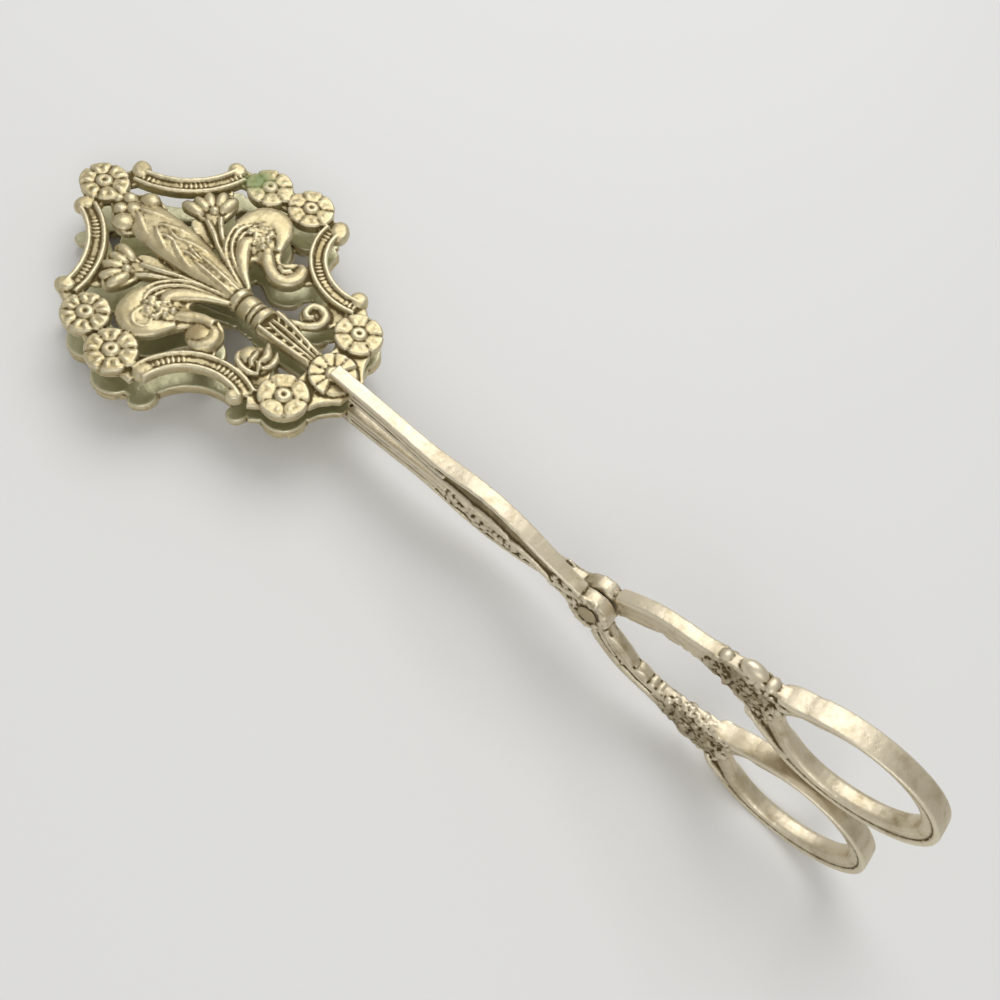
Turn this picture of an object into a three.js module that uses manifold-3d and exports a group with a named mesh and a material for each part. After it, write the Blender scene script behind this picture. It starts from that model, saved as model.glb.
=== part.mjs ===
// Scissor-action serving tongs with two pierced, flower-framed jaw plates.
// Millimetres, +Z up, +X from the finger loops towards the jaw tips.
// Both halves are one casting: the lower half is the upper half turned half round about X.
import * as THREE from "three";
import { mergeVertices } from "three/addons/utils/BufferGeometryUtils.js";
import Module from "manifold-3d";

const wasm = await Module();
wasm.setup();

// Rivet, and the arms side by side on it
const ARM_THICKNESS = 3.5; // along the rivet
const ARM_GAP = 0.4; // running gap between the two arms
const BOSS_RADIUS = 5.0;
const RIVET_RADIUS = 1.6;
const RIVET_CLEARANCE = 0.3; // round the shank and under each head
const RIVET_HEAD_RADIUS = 2.7;
const RIVET_HEAD_HEIGHT = 1.1;
const CROSSING_JAW_SIDE = 13; // how far from the rivet the arms stay side by side
const CROSSING_HANDLE_SIDE = 9;
const REST_OPENING = 3.4; // degrees between the jaw plates when the loops meet

// Jaw arm, from the rivet to the plate
const JAW_REACH = 66; // rivet to the end of the arm's full section
const JAW_ARM_RISE = 2.0; // arm's middle above the rivet, at the plate
const JAW_ARM_HEIGHT = 4.1;
const BOW_DISTANCE = 27; // rivet to the middle of the outward bow
const BOW_RISE = 5.7;
const BOW_HEIGHT = 5.2;
const BOW_THICKNESS = 4.6; // the decorated stretch is thicker than the rest
const TONGUE_LENGTH = 5.5; // lies on the plate's base rosette
const TONGUE_THICKNESS = 1.8;
const SOLDER_GAP = 0.3;

// Handle and finger loop
const HANDLE_LENGTH = 31; // rivet to the middle of the leaf cluster
const HANDLE_DROP = 12.0; // loop end of the handle below the rivet
const HANDLE_HEIGHT = 5.2;
const CLUSTER_LENGTH = 13; // leaf cluster where the handle meets the loop
const CLUSTER_HEIGHT = 12.5;
const CLUSTER_PROUD = 0.8; // beyond the arm's two side faces
const KNOB_RADIUS = 2.3; // bead on the cluster's outer edge
const BEAD_RADIUS = 1.7; // smaller bead before it
const LOOP_LENGTH = 36.8;
const LOOP_HEIGHT = 23.6;
const LOOP_BAND = 2.1;
const FINGER_LENGTH = 28; // of the hole
const LOOP_END_BAND = 4.4; // band at the loop's free end
const LOOP_SINK = 2.5; // how far the loop runs into the cluster
const LOOP_ASIDE = 0.9; // each loop stands a little to its own arm's side
const LOOP_GAP = 0.5; // between the two loops at rest
const FLAT_DEPTH = 0.25; // worn resting flats on loop and plate

// Jaw plate: distances along the plate start at the end of the arm's full section
const PLATE_BACK = -0.5; // plain back above the rivet's level
const RIM_HEIGHT = 2.2;
const RIM_WIDTH = 4.4;
const RIM_EDGE_WIDTH = 1.1; // the two raised plain edges of a rim arc
const RIM_EDGE_HEIGHT = 0.5;
const UPPER_ARC_DEPTH = 3.4; // how far each rim arc curves in
const LOWER_ARC_DEPTH = 5.6;
const CAP_RADIUS = 2.1; // round ends of the rim arcs
const FLOWER_RADIUS = 5.3;
const FLOWER_HEIGHT = 2.9;
const PETALS = 8;
const STUD_RADIUS = 1.2;
const STUD_HEIGHT = 0.5; // above the petals
const TIP_FLOWER_ALONG = 74;
const SHOULDER_FLOWER_ALONG = 50;
const SHOULDER_FLOWER_ASIDE = 25.8;
const SIDE_FLOWER_ALONG = 39.7;
const SIDE_FLOWER_ASIDE = 28.3;
const BASE_FLOWER_ALONG = 8.9;
const BASE_FLOWER_ASIDE = 11.1;
const ROSETTE_ALONG = 3.6;
const ROSETTE_RADIUS = 5.0;
const WEB_WIDTH = 3.0; // low bars between neighbouring flowers and arcs
const WEB_HEIGHT = 1.6;

// Fleur-de-lis in the middle of the plate
const COLLAR_ALONG = 28.6;
const COLLAR_LENGTH = 6.6;
const COLLAR_RADIUS = 3.4;
const BUD_WIDTH = 9.4;
const BUD_HEIGHT = 3.6;
const TIP_BEAD_RADIUS = 1.7;
const LEAF_RISE = 18.9; // from the collar's middle to the top of a side leaf
const LEAF_REACH = 21.7; // from the axis to the outside of a side leaf
const LEAF_HEIGHT = 3.1;
const STEM_WIDTH = 1.9;
const STEM_HEIGHT = 2.0;
const TULIP_ALONG = 53.4;
const TULIP_ASIDE = 11.2;
const TULIP_PETAL_LENGTH = 6.4;
const TULIP_PETAL_WIDTH = 4.0;
const TAIL_WIDTH = 6.6;
const TAIL_HEIGHT = 2.7;
const SCROLL_ALONG = 18.6;
const SCROLL_ASIDE = 8.8;
const SCROLL_RADIUS = 3.1;
const SCROLL_HEIGHT = 2.5;

// Rounding of the cast forms, and how far joined forms sink into each other
const EDGE_BEVEL = 0.6;
const JOIN = 0.3;

const halfOpening = THREE.MathUtils.degToRad(REST_OPENING / 2);
const armOffset = (ARM_GAP + ARM_THICKNESS) / 2;

// Closed mesh to solid, and back
function solidOf(geometry) {
  const bare = geometry.clone();
  bare.deleteAttribute("normal");
  bare.deleteAttribute("uv");
  const merged = mergeVertices(bare, 1e-4);
  const vertProperties = new Float32Array(merged.attributes.position.array);
  const triVerts = new Uint32Array(merged.index.array);
  return new wasm.Manifold(new wasm.Mesh({ numProp: 3, vertProperties, triVerts }));
}

function geometryOf(solid) {
  const mesh = solid.getMesh();
  const geometry = new THREE.BufferGeometry();
  geometry.setAttribute("position", new THREE.BufferAttribute(new Float32Array(mesh.vertProperties), 3));
  geometry.setIndex(new THREE.BufferAttribute(new Uint32Array(mesh.triVerts), 1));
  geometry.computeVertexNormals();
  return geometry;
}

function joined(solids) {
  return solids.reduce((whole, solid) => whole.add(solid));
}

// Sideways place of an arm's middle: clear of its twin at the crossing, central at both ends
function sideOffset(x) {
  if (x > 0) {
    return armOffset * (1 - THREE.MathUtils.smoothstep(x, CROSSING_JAW_SIDE, JAW_REACH - TONGUE_LENGTH));
  }
  const ease = THREE.MathUtils.smoothstep(-x, CROSSING_HANDLE_SIDE, HANDLE_LENGTH - LOOP_SINK);
  return THREE.MathUtils.lerp(armOffset, LOOP_ASIDE, ease);
}

// A bar bent along stations of [x, z, height, thickness], in order of rising x
function bentBar(stations, steps) {
  const path = new THREE.CatmullRomCurve3(stations.map(([x, z]) => new THREE.Vector3(x, 0, z)));
  const sections = new THREE.CatmullRomCurve3(stations.map((s) => new THREE.Vector3(0, s[3], s[2])));
  const bar = new THREE.BoxGeometry(1, 1, 1, steps, 1, 1);
  const place = bar.attributes.position;
  for (let i = 0; i < place.count; i += 1) {
    const along = place.getX(i) + 0.5;
    const middle = path.getPoint(along);
    const tangent = path.getTangent(along);
    const section = sections.getPoint(along);
    const lift = place.getZ(i) * section.z;
    const y = sideOffset(middle.x) + place.getY(i) * section.y;
    place.setXYZ(i, middle.x - tangent.z * lift, y, middle.z + tangent.x * lift);
  }
  return solidOf(bar);
}

function lump(x, y, z, radiusX, radiusY, radiusZ) {
  const sphere = new THREE.SphereGeometry(1, 12, 8);
  sphere.scale(radiusX, radiusY, radiusZ).translate(x, y, z);
  return solidOf(sphere);
}

// Finger loop: an oval band whose hole lies towards its free end
const loopStart = HANDLE_LENGTH + CLUSTER_LENGTH / 2 - LOOP_SINK;
const loopRest = new THREE.Vector2(-loopStart - LOOP_LENGTH / 2, -(LOOP_HEIGHT + LOOP_GAP) / 2);
const loopMiddle = loopRest.clone().rotateAround(new THREE.Vector2(), -halfOpening);

function fingerLoop() {
  const outline = new THREE.Shape();
  outline.absellipse(loopMiddle.x, loopMiddle.y, LOOP_LENGTH / 2, LOOP_HEIGHT / 2, 0, 2 * Math.PI);
  const holeX = loopMiddle.x - LOOP_LENGTH / 2 + LOOP_END_BAND + FINGER_LENGTH / 2;
  const hole = new THREE.Path();
  hole.absellipse(holeX, loopMiddle.y, FINGER_LENGTH / 2, LOOP_HEIGHT / 2 - LOOP_BAND, 0, 2 * Math.PI, true);
  outline.holes.push(hole);
  const band = new THREE.ExtrudeGeometry(outline, { depth: ARM_THICKNESS, bevelEnabled: false, curveSegments: 18 });
  band.rotateX(Math.PI / 2).translate(0, LOOP_ASIDE + ARM_THICKNESS / 2, 0);
  return solidOf(band);
}

// One arm, with its boss, loop and tongue
function armSolid() {
  const bowSpan = JAW_REACH - BOW_DISTANCE;
  const rise = (share) => THREE.MathUtils.lerp(BOW_RISE, JAW_ARM_RISE, share);
  const thick = ARM_THICKNESS;
  const swell = (share) => THREE.MathUtils.lerp(ARM_THICKNESS, BOW_THICKNESS, share);
  const jawBar = bentBar([
    [-0.06 * BOW_DISTANCE, -0.13 * BOW_RISE, 1.7 * BOSS_RADIUS, thick],
    [0.15 * BOW_DISTANCE, 0.16 * BOW_RISE, 1.5 * BOSS_RADIUS, thick],
    [0.33 * BOW_DISTANCE, 0.42 * BOW_RISE, 1.16 * BOW_HEIGHT, thick],
    [0.52 * BOW_DISTANCE, 0.68 * BOW_RISE, 1.04 * BOW_HEIGHT, swell(0.5)],
    [0.74 * BOW_DISTANCE, 0.91 * BOW_RISE, BOW_HEIGHT, swell(0.95)],
    [BOW_DISTANCE, BOW_RISE, BOW_HEIGHT, BOW_THICKNESS],
    [BOW_DISTANCE + 0.16 * bowSpan, rise(0.26), 0.97 * BOW_HEIGHT, swell(0.95)],
    [BOW_DISTANCE + 0.31 * bowSpan, rise(0.66), 0.9 * BOW_HEIGHT, swell(0.7)],
    [BOW_DISTANCE + 0.49 * bowSpan, rise(0.92), 1.05 * JAW_ARM_HEIGHT, swell(0.25)],
    [BOW_DISTANCE + 0.74 * bowSpan, JAW_ARM_RISE, JAW_ARM_HEIGHT, thick],
    [JAW_REACH, JAW_ARM_RISE, JAW_ARM_HEIGHT, thick],
  ], 26);
  const handleBar = bentBar([
    [-1.06 * HANDLE_LENGTH, -0.98 * HANDLE_DROP, 1.7 * HANDLE_HEIGHT, thick],
    [-HANDLE_LENGTH, -HANDLE_DROP, 1.6 * HANDLE_HEIGHT, thick],
    [-0.81 * HANDLE_LENGTH, -0.93 * HANDLE_DROP, 1.16 * HANDLE_HEIGHT, thick],
    [-0.65 * HANDLE_LENGTH, -0.83 * HANDLE_DROP, HANDLE_HEIGHT, thick],
    [-0.52 * HANDLE_LENGTH, -0.75 * HANDLE_DROP, 0.96 * HANDLE_HEIGHT, thick],
    [-0.39 * HANDLE_LENGTH, -0.62 * HANDLE_DROP, 1.08 * HANDLE_HEIGHT, thick],
    [-0.26 * HANDLE_LENGTH, -0.44 * HANDLE_DROP, 1.2 * HANDLE_HEIGHT, thick],
    [-0.13 * HANDLE_LENGTH, -0.22 * HANDLE_DROP, 1.5 * BOSS_RADIUS, thick],
    [0.04 * HANDLE_LENGTH, 0.04 * HANDLE_DROP, 1.6 * BOSS_RADIUS, thick],
  ], 20);
  const boss = new THREE.CylinderGeometry(BOSS_RADIUS, BOSS_RADIUS, ARM_THICKNESS, 24);
  boss.translate(0, armOffset, 0);
  const tongueLength = TONGUE_LENGTH + JOIN;
  const tongueTop = JAW_ARM_RISE + JAW_ARM_HEIGHT / 2;
  const tongue = new THREE.BoxGeometry(tongueLength, ARM_THICKNESS, TONGUE_THICKNESS);
  tongue.translate(JAW_REACH + TONGUE_LENGTH - tongueLength / 2, 0, tongueTop - TONGUE_THICKNESS / 2);
  const clusterX = -HANDLE_LENGTH - JOIN;
  const clusterY = ARM_THICKNESS / 2 + CLUSTER_PROUD;
  const knobZ = -HANDLE_DROP - CLUSTER_HEIGHT / 2 + KNOB_RADIUS / 3;
  const beadX = -0.79 * HANDLE_LENGTH;
  const beadZ = -0.93 * HANDLE_DROP - 0.58 * HANDLE_HEIGHT;
  const pieces = [
    jawBar,
    handleBar,
    solidOf(boss),
    solidOf(tongue),
    fingerLoop(),
    lump(clusterX, sideOffset(clusterX), -HANDLE_DROP, CLUSTER_LENGTH / 2, clusterY, CLUSTER_HEIGHT / 2),
    lump(clusterX + KNOB_RADIUS, LOOP_ASIDE, knobZ, KNOB_RADIUS, KNOB_RADIUS, KNOB_RADIUS),
    lump(beadX, sideOffset(beadX), beadZ - BEAD_RADIUS / 2, BEAD_RADIUS, BEAD_RADIUS, BEAD_RADIUS),
  ];
  const boreRadius = RIVET_RADIUS + RIVET_CLEARANCE;
  const bore = new THREE.CylinderGeometry(boreRadius, boreRadius, 4 * ARM_THICKNESS, 20);
  return joined(pieces).subtract(solidOf(bore));
}

// Places on the plate, in the half's frame
function onPlate(along, aside) {
  return new THREE.Vector2(JAW_REACH + along, aside);
}

// A plan outline raised from the plate's back by a height, with its upper edge bevelled
function raised(shape, height, bevel = EDGE_BEVEL) {
  const geometry = new THREE.ExtrudeGeometry(shape, {
    depth: height - bevel,
    bevelThickness: bevel,
    bevelSize: bevel,
    bevelOffset: -bevel,
    bevelSegments: 1,
    curveSegments: 8,
  });
  return solidOf(geometry.translate(0, 0, PLATE_BACK));
}

function splineShape(points, divisions) {
  const curve = new THREE.CatmullRomCurve3(points.map((p) => new THREE.Vector3(p.x, p.y, 0)), true);
  return new THREE.Shape(curve.getPoints(divisions).slice(0, -1).map((p) => new THREE.Vector2(p.x, p.y)));
}

function petalShape(middle, radius) {
  const points = [];
  const count = PETALS * 4;
  for (let i = 0; i < count; i += 1) {
    const turn = (2 * Math.PI * i) / count;
    const reach = radius * (0.91 + 0.09 * Math.cos(PETALS * turn));
    points.push(new THREE.Vector2(middle.x + reach * Math.cos(turn), middle.y + reach * Math.sin(turn)));
  }
  return new THREE.Shape(points);
}

function dome(middle, radius, top) {
  const floor = PLATE_BACK;
  const profile = [
    new THREE.Vector2(0, floor),
    new THREE.Vector2(radius, floor),
    new THREE.Vector2(radius, top - 0.5 * radius),
    new THREE.Vector2(0.7 * radius, top - 0.14 * radius),
    new THREE.Vector2(0, top),
  ];
  const geometry = new THREE.LatheGeometry(profile, 10);
  return solidOf(geometry.rotateX(Math.PI / 2).translate(middle.x, middle.y, 0));
}

function flower(middle) {
  const petalTop = PLATE_BACK + FLOWER_HEIGHT;
  return raised(petalShape(middle, FLOWER_RADIUS), FLOWER_HEIGHT)
    .add(dome(middle, STUD_RADIUS, petalTop + STUD_HEIGHT));
}

// A low straight bar between two places
function web(from, to) {
  const run = new THREE.Vector2().subVectors(to, from);
  const bar = new THREE.BoxGeometry(run.length(), WEB_WIDTH, WEB_HEIGHT);
  bar.rotateZ(run.angle());
  bar.translate((from.x + to.x) / 2, (from.y + to.y) / 2, PLATE_BACK + WEB_HEIGHT / 2);
  return solidOf(bar);
}

// Plan shape of a band that follows the arc through two ends and a given depth
function arcBand(from, to, depth, inner, outer) {
  const chord = new THREE.Vector2().subVectors(to, from);
  const radius = chord.lengthSq() / (8 * depth) + depth / 2;
  const outward = new THREE.Vector2(-chord.y, chord.x).normalize();
  if (outward.y * from.y < 0) outward.negate();
  const centre = from.clone().add(to).multiplyScalar(0.5).addScaledVector(outward, radius - depth);
  const start = new THREE.Vector2().subVectors(from, centre).angle();
  let sweep = new THREE.Vector2().subVectors(to, centre).angle() - start;
  if (sweep > Math.PI) sweep -= 2 * Math.PI;
  if (sweep < -Math.PI) sweep += 2 * Math.PI;
  const steps = 10;
  const points = [];
  for (let i = 0; i <= 2 * steps + 1; i += 1) {
    const back = i > steps;
    const turn = start + (sweep * (back ? 2 * steps + 1 - i : i)) / steps;
    const reach = radius - (back ? outer : inner);
    points.push(new THREE.Vector2(centre.x + reach * Math.cos(turn), centre.y + reach * Math.sin(turn)));
  }
  return { shape: new THREE.Shape(points), outward };
}

// Rim arc: a band with two raised edges and a round cap at each end
function rimArc(from, to, depth) {
  const half = RIM_WIDTH / 2;
  const band = arcBand(from, to, depth, -half, half);
  const edgeHeight = RIM_HEIGHT + RIM_EDGE_HEIGHT;
  const outerEdge = arcBand(from, to, depth, half - RIM_EDGE_WIDTH, half);
  const innerEdge = arcBand(from, to, depth, -half, RIM_EDGE_WIDTH - half);
  const capAt = (end) => end.clone().addScaledVector(band.outward, half);
  const edgeBevel = Math.min(EDGE_BEVEL, RIM_EDGE_WIDTH / 3);
  return joined([
    raised(band.shape, RIM_HEIGHT, edgeBevel),
    raised(outerEdge.shape, edgeHeight, edgeBevel),
    raised(innerEdge.shape, edgeHeight, edgeBevel),
    dome(capAt(from), CAP_RADIUS, PLATE_BACK + edgeHeight),
    dome(capAt(to), CAP_RADIUS, PLATE_BACK + edgeHeight),
  ]);
}

// The frame of one side: flowers, rim arcs and the webs that join them
function frameSide(side) {
  const tip = onPlate(TIP_FLOWER_ALONG, 0);
  const shoulder = onPlate(SHOULDER_FLOWER_ALONG, side * SHOULDER_FLOWER_ASIDE);
  const corner = onPlate(SIDE_FLOWER_ALONG, side * SIDE_FLOWER_ASIDE);
  const base = onPlate(BASE_FLOWER_ALONG, side * BASE_FLOWER_ASIDE);
  const rosette = onPlate(ROSETTE_ALONG, 0);
  const reach = FLOWER_RADIUS + RIM_WIDTH / 2 - JOIN;
  const beside = (flowerPlace, degrees) => {
    const turn = side * THREE.MathUtils.degToRad(degrees);
    return new THREE.Vector2(flowerPlace.x + reach * Math.cos(turn), flowerPlace.y + reach * Math.sin(turn));
  };
  const upperStart = beside(tip, 111);
  const upperEnd = beside(shoulder, -16);
  const lowerStart = beside(corner, 183);
  const lowerEnd = beside(base, 42);
  return joined([
    flower(shoulder),
    flower(corner),
    flower(base),
    rimArc(upperStart, upperEnd, UPPER_ARC_DEPTH),
    rimArc(lowerStart, lowerEnd, LOWER_ARC_DEPTH),
    web(tip, upperStart),
    web(upperEnd, shoulder),
    web(shoulder, corner),
    web(corner, lowerStart),
    web(lowerEnd, base),
    web(base, rosette),
  ]);
}

// Outline of a side leaf, as shares of its rise above the collar and its reach from the axis
const LEAF_OUTLINE = [
  [0.24, 0.05], [0.47, 0.14], [0.71, 0.29], [0.91, 0.48], [1.0, 0.69], [0.92, 0.89], [0.72, 1.0],
  [0.5, 0.97], [0.36, 0.83], [0.34, 0.69], [0.2, 0.64], [0.03, 0.7], [-0.09, 0.63], [-0.1, 0.51],
  [0.04, 0.42], [0.25, 0.4], [0.43, 0.41], [0.49, 0.33], [0.4, 0.22], [0.24, 0.15],
];

// One side of the fleur-de-lis: leaf, stem with its tulip, and the scroll beside the tail
function fleurSide(side) {
  const collar = onPlate(COLLAR_ALONG, 0);
  const leafPoints = LEAF_OUTLINE.map(([rise, reach]) => (
    new THREE.Vector2(collar.x + rise * LEAF_RISE, side * reach * LEAF_REACH)
  ));
  const tulip = onPlate(TULIP_ALONG, side * TULIP_ASIDE);
  const stemRun = new THREE.Vector2().subVectors(tulip, collar);
  const stem = new THREE.BoxGeometry(stemRun.length(), STEM_WIDTH, STEM_HEIGHT);
  stem.rotateZ(stemRun.angle());
  stem.translate((collar.x + tulip.x) / 2, (collar.y + tulip.y) / 2, PLATE_BACK + STEM_HEIGHT / 2);
  const petals = [-38, 0, 38].map((spread) => {
    const turn = stemRun.angle() + side * THREE.MathUtils.degToRad(spread + 12);
    const shape = new THREE.Shape();
    const half = TULIP_PETAL_LENGTH / 2;
    const x = tulip.x + (half - JOIN) * Math.cos(turn);
    const y = tulip.y + (half - JOIN) * Math.sin(turn);
    shape.absellipse(x, y, half, TULIP_PETAL_WIDTH / 2, 0, 2 * Math.PI, false, turn);
    return raised(new THREE.Shape(shape.getPoints(6).slice(0, -1)), STEM_HEIGHT + EDGE_BEVEL);
  });
  const scroll = onPlate(SCROLL_ALONG, side * SCROLL_ASIDE);
  return joined([
    raised(splineShape(leafPoints, 30), LEAF_HEIGHT),
    solidOf(stem),
    ...petals,
    dome(scroll, SCROLL_RADIUS, PLATE_BACK + SCROLL_HEIGHT),
    web(scroll, onPlate(SCROLL_ALONG, 0)),
  ]);
}

// Bud, collar, tail and the beads at the bud's tip
function fleurMiddle() {
  const collar = onPlate(COLLAR_ALONG, 0);
  const budFoot = collar.x + COLLAR_LENGTH / 2 - JOIN;
  const budTip = JAW_REACH + TIP_FLOWER_ALONG - FLOWER_RADIUS + 2 * JOIN;
  const budLength = budTip - budFoot;
  const budHalf = [[0, 0.34], [0.16, 0.42], [0.33, 0.66], [0.5, 0.92], [0.62, 1], [0.75, 0.88], [0.87, 0.62], [1, 0.3]];
  const across = (points, side) => points.map(([run, share]) => (
    new THREE.Vector2(budFoot + run * budLength, side * share * BUD_WIDTH / 2)
  ));
  const budShape = new THREE.Shape([...across(budHalf, -1), ...across(budHalf, 1).reverse()]);
  const tailTip = JAW_REACH + ROSETTE_ALONG;
  const tailLength = collar.x - tailTip;
  const tailHalf = [[0, 0.56], [0.35, 0.62], [0.6, 0.8], [0.8, 1], [1, 1]];
  const along = (points, side) => points.map(([run, share]) => (
    new THREE.Vector2(tailTip + run * tailLength, side * share * TAIL_WIDTH / 2)
  ));
  const tailShape = new THREE.Shape([...along(tailHalf, -1), ...along(tailHalf, 1).reverse()]);
  const band = COLLAR_LENGTH / 2;
  const ring = [[1, 0.9], [0.72, 1], [0.5, 0.86], [0.34, 1], [-0.34, 1], [-0.5, 0.86], [-0.72, 1], [-1, 0.9]];
  const profile = ring.map(([run, share]) => new THREE.Vector2(share * COLLAR_RADIUS, -run * band));
  profile.unshift(new THREE.Vector2(0, -band));
  profile.push(new THREE.Vector2(0, band));
  const turned = new THREE.LatheGeometry(profile, 16);
  turned.rotateZ(Math.PI / 2).translate(collar.x, 0, PLATE_BACK);
  const beadTop = PLATE_BACK + BUD_HEIGHT;
  const beadRow = [[-2.0, 1.5], [-5.0, 2.7]];
  const beads = beadRow.flatMap(([back, spread]) => [-1, 1].map((side) => (
    dome(new THREE.Vector2(budTip + (back * TIP_BEAD_RADIUS) / 1.7, side * spread * TIP_BEAD_RADIUS), TIP_BEAD_RADIUS, beadTop)
  )));
  return joined([
    raised(budShape, BUD_HEIGHT, 2 * EDGE_BEVEL),
    raised(tailShape, TAIL_HEIGHT),
    solidOf(turned),
    ...beads,
  ]);
}

// One jaw plate, trimmed flat on its back and square where it meets the arm
function plateSolid() {
  const rosette = onPlate(ROSETTE_ALONG, 0);
  const tongueFloor = JAW_ARM_RISE + JAW_ARM_HEIGHT / 2 - TONGUE_THICKNESS;
  const whole = joined([
    flower(onPlate(TIP_FLOWER_ALONG, 0)),
    frameSide(1),
    frameSide(-1),
    fleurMiddle(),
    fleurSide(1),
    fleurSide(-1),
    raised(petalShape(rosette, ROSETTE_RADIUS), FLOWER_HEIGHT),
  ]);
  const block = 4 * JAW_REACH;
  const below = new THREE.BoxGeometry(block, block, block);
  below.translate(JAW_REACH, 0, PLATE_BACK - block / 2);
  const behind = new THREE.BoxGeometry(block, block, block);
  behind.translate(JAW_REACH + SOLDER_GAP - block / 2, 0, 0);
  const seatLength = TONGUE_LENGTH + SOLDER_GAP;
  const seat = new THREE.BoxGeometry(seatLength, ARM_THICKNESS + 2 * SOLDER_GAP, block);
  seat.translate(JAW_REACH + seatLength / 2, 0, tongueFloor - SOLDER_GAP + block / 2);
  return whole.subtract(solidOf(below)).subtract(solidOf(behind)).subtract(solidOf(seat));
}

// Rivet: a shank with a domed head on each side
function rivetGeometry() {
  const seat = ARM_GAP / 2 + ARM_THICKNESS + RIVET_CLEARANCE;
  const half = [
    new THREE.Vector2(RIVET_RADIUS, seat),
    new THREE.Vector2(RIVET_HEAD_RADIUS, seat),
    new THREE.Vector2(RIVET_HEAD_RADIUS, seat + 0.3 * RIVET_HEAD_HEIGHT),
    new THREE.Vector2(0.72 * RIVET_HEAD_RADIUS, seat + 0.78 * RIVET_HEAD_HEIGHT),
    new THREE.Vector2(0, seat + RIVET_HEAD_HEIGHT),
  ];
  const other = half.map((p) => new THREE.Vector2(p.x, -p.y)).reverse();
  return new THREE.LatheGeometry([...other, ...half], 24);
}

// Half groups at rest: the upper half is opened about the rivet, the lower half is turned over
function halfGroups() {
  const upper = new THREE.Group();
  upper.rotation.y = -halfOpening;
  const lower = upper.clone();
  const turnedOver = new THREE.Group();
  turnedOver.rotation.x = Math.PI;
  turnedOver.add(lower);
  turnedOver.updateMatrixWorld(true);
  upper.updateMatrixWorld(true);
  return { upper, lower, turnedOver };
}

function pointsOf(geometry, matrix) {
  const place = geometry.attributes.position;
  const points = [];
  for (let i = 0; i < place.count; i += 1) {
    points.push(new THREE.Vector3().fromBufferAttribute(place, i).applyMatrix4(matrix));
  }
  return points;
}

// Slope of the table under the lower loop and the lower plate
function restSlope(loopPoints, jawPoints) {
  let slope = 0;
  for (let round = 0; round < 12; round += 1) {
    const lowest = (points) => points.reduce((best, p) => (
      p.z - slope * p.x < best.z - slope * best.x ? p : best
    ));
    const loop = lowest(loopPoints);
    const jaw = lowest(jawPoints);
    slope = (jaw.z - loop.z) / (jaw.x - loop.x);
  }
  const level = Math.min(...loopPoints.map((p) => p.z - slope * p.x));
  return { slope, level };
}

const { upper, lower, turnedOver } = halfGroups();
const roughArm = armSolid();
const roughPlate = plateSolid();
const table = restSlope(
  pointsOf(geometryOf(roughArm), upper.matrixWorld),
  pointsOf(geometryOf(roughPlate), lower.matrixWorld),
);
const tableTilt = Math.atan(table.slope);

// The worn flats: what lies below the raised table is taken off
function wornBy(solid, halfMatrix) {
  const size = 6 * JAW_REACH;
  const slab = new THREE.BoxGeometry(size, size, size);
  slab.translate(0, 0, FLAT_DEPTH - size / 2);
  slab.rotateY(-tableTilt).translate(0, 0, table.level);
  slab.applyMatrix4(halfMatrix.clone().invert());
  return solid.subtract(solidOf(slab));
}

const armGeometry = geometryOf(wornBy(roughArm, upper.matrixWorld));
const plateGeometry = geometryOf(wornBy(roughPlate, lower.matrixWorld));

// Silver plate: pale on the worn castings, a little darker on the rivet
function silver(color, roughness) {
  return new THREE.MeshStandardMaterial({ color, roughness, metalness: 0.95 });
}

function named(name, geometry, material) {
  const mesh = new THREE.Mesh(geometry, material);
  mesh.name = name;
  return mesh;
}

upper.add(named("upper_jaw_plate", plateGeometry, silver(0xcbbf98, 0.42)));
upper.add(named("upper_jaw_arm", armGeometry, silver(0xd2c8a8, 0.36)));
lower.add(named("lower_jaw_plate", plateGeometry, silver(0xcbbf98, 0.42)));
lower.add(named("lower_jaw_arm", armGeometry, silver(0xd2c8a8, 0.36)));

// Set down on the table, with the origin under the middle of the whole
const tongs = new THREE.Group();
const levelled = new THREE.Group();
levelled.rotation.y = tableTilt;
levelled.add(upper, turnedOver, named("pivot_rivet", rivetGeometry(), silver(0xb9ae8c, 0.45)));
tongs.add(levelled);
tongs.updateMatrixWorld(true);
const box = new THREE.Box3().setFromObject(levelled, true);
const middle = box.getCenter(new THREE.Vector3());
levelled.position.set(-middle.x, -middle.y, -box.min.z);

export default tongs;
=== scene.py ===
import math
import random
import bmesh
import bpy
import numpy as np
from mathutils import Matrix, Vector, noise


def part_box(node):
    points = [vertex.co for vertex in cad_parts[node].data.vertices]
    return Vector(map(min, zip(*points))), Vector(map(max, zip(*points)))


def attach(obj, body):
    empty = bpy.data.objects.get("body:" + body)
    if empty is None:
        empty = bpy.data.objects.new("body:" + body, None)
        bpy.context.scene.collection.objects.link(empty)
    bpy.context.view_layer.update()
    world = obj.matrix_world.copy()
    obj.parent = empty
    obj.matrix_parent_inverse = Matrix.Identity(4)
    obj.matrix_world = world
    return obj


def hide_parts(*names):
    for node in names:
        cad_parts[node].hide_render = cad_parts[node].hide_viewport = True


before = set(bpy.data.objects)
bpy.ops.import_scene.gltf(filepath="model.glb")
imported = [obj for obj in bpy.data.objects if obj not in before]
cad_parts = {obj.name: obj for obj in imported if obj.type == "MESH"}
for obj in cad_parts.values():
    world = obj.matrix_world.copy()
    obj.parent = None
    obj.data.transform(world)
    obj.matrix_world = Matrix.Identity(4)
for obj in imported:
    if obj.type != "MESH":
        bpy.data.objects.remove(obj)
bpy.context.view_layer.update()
scene = bpy.context.scene
scene.view_settings.view_transform = "Standard"
print("frame loaded:", sorted(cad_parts))

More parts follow.
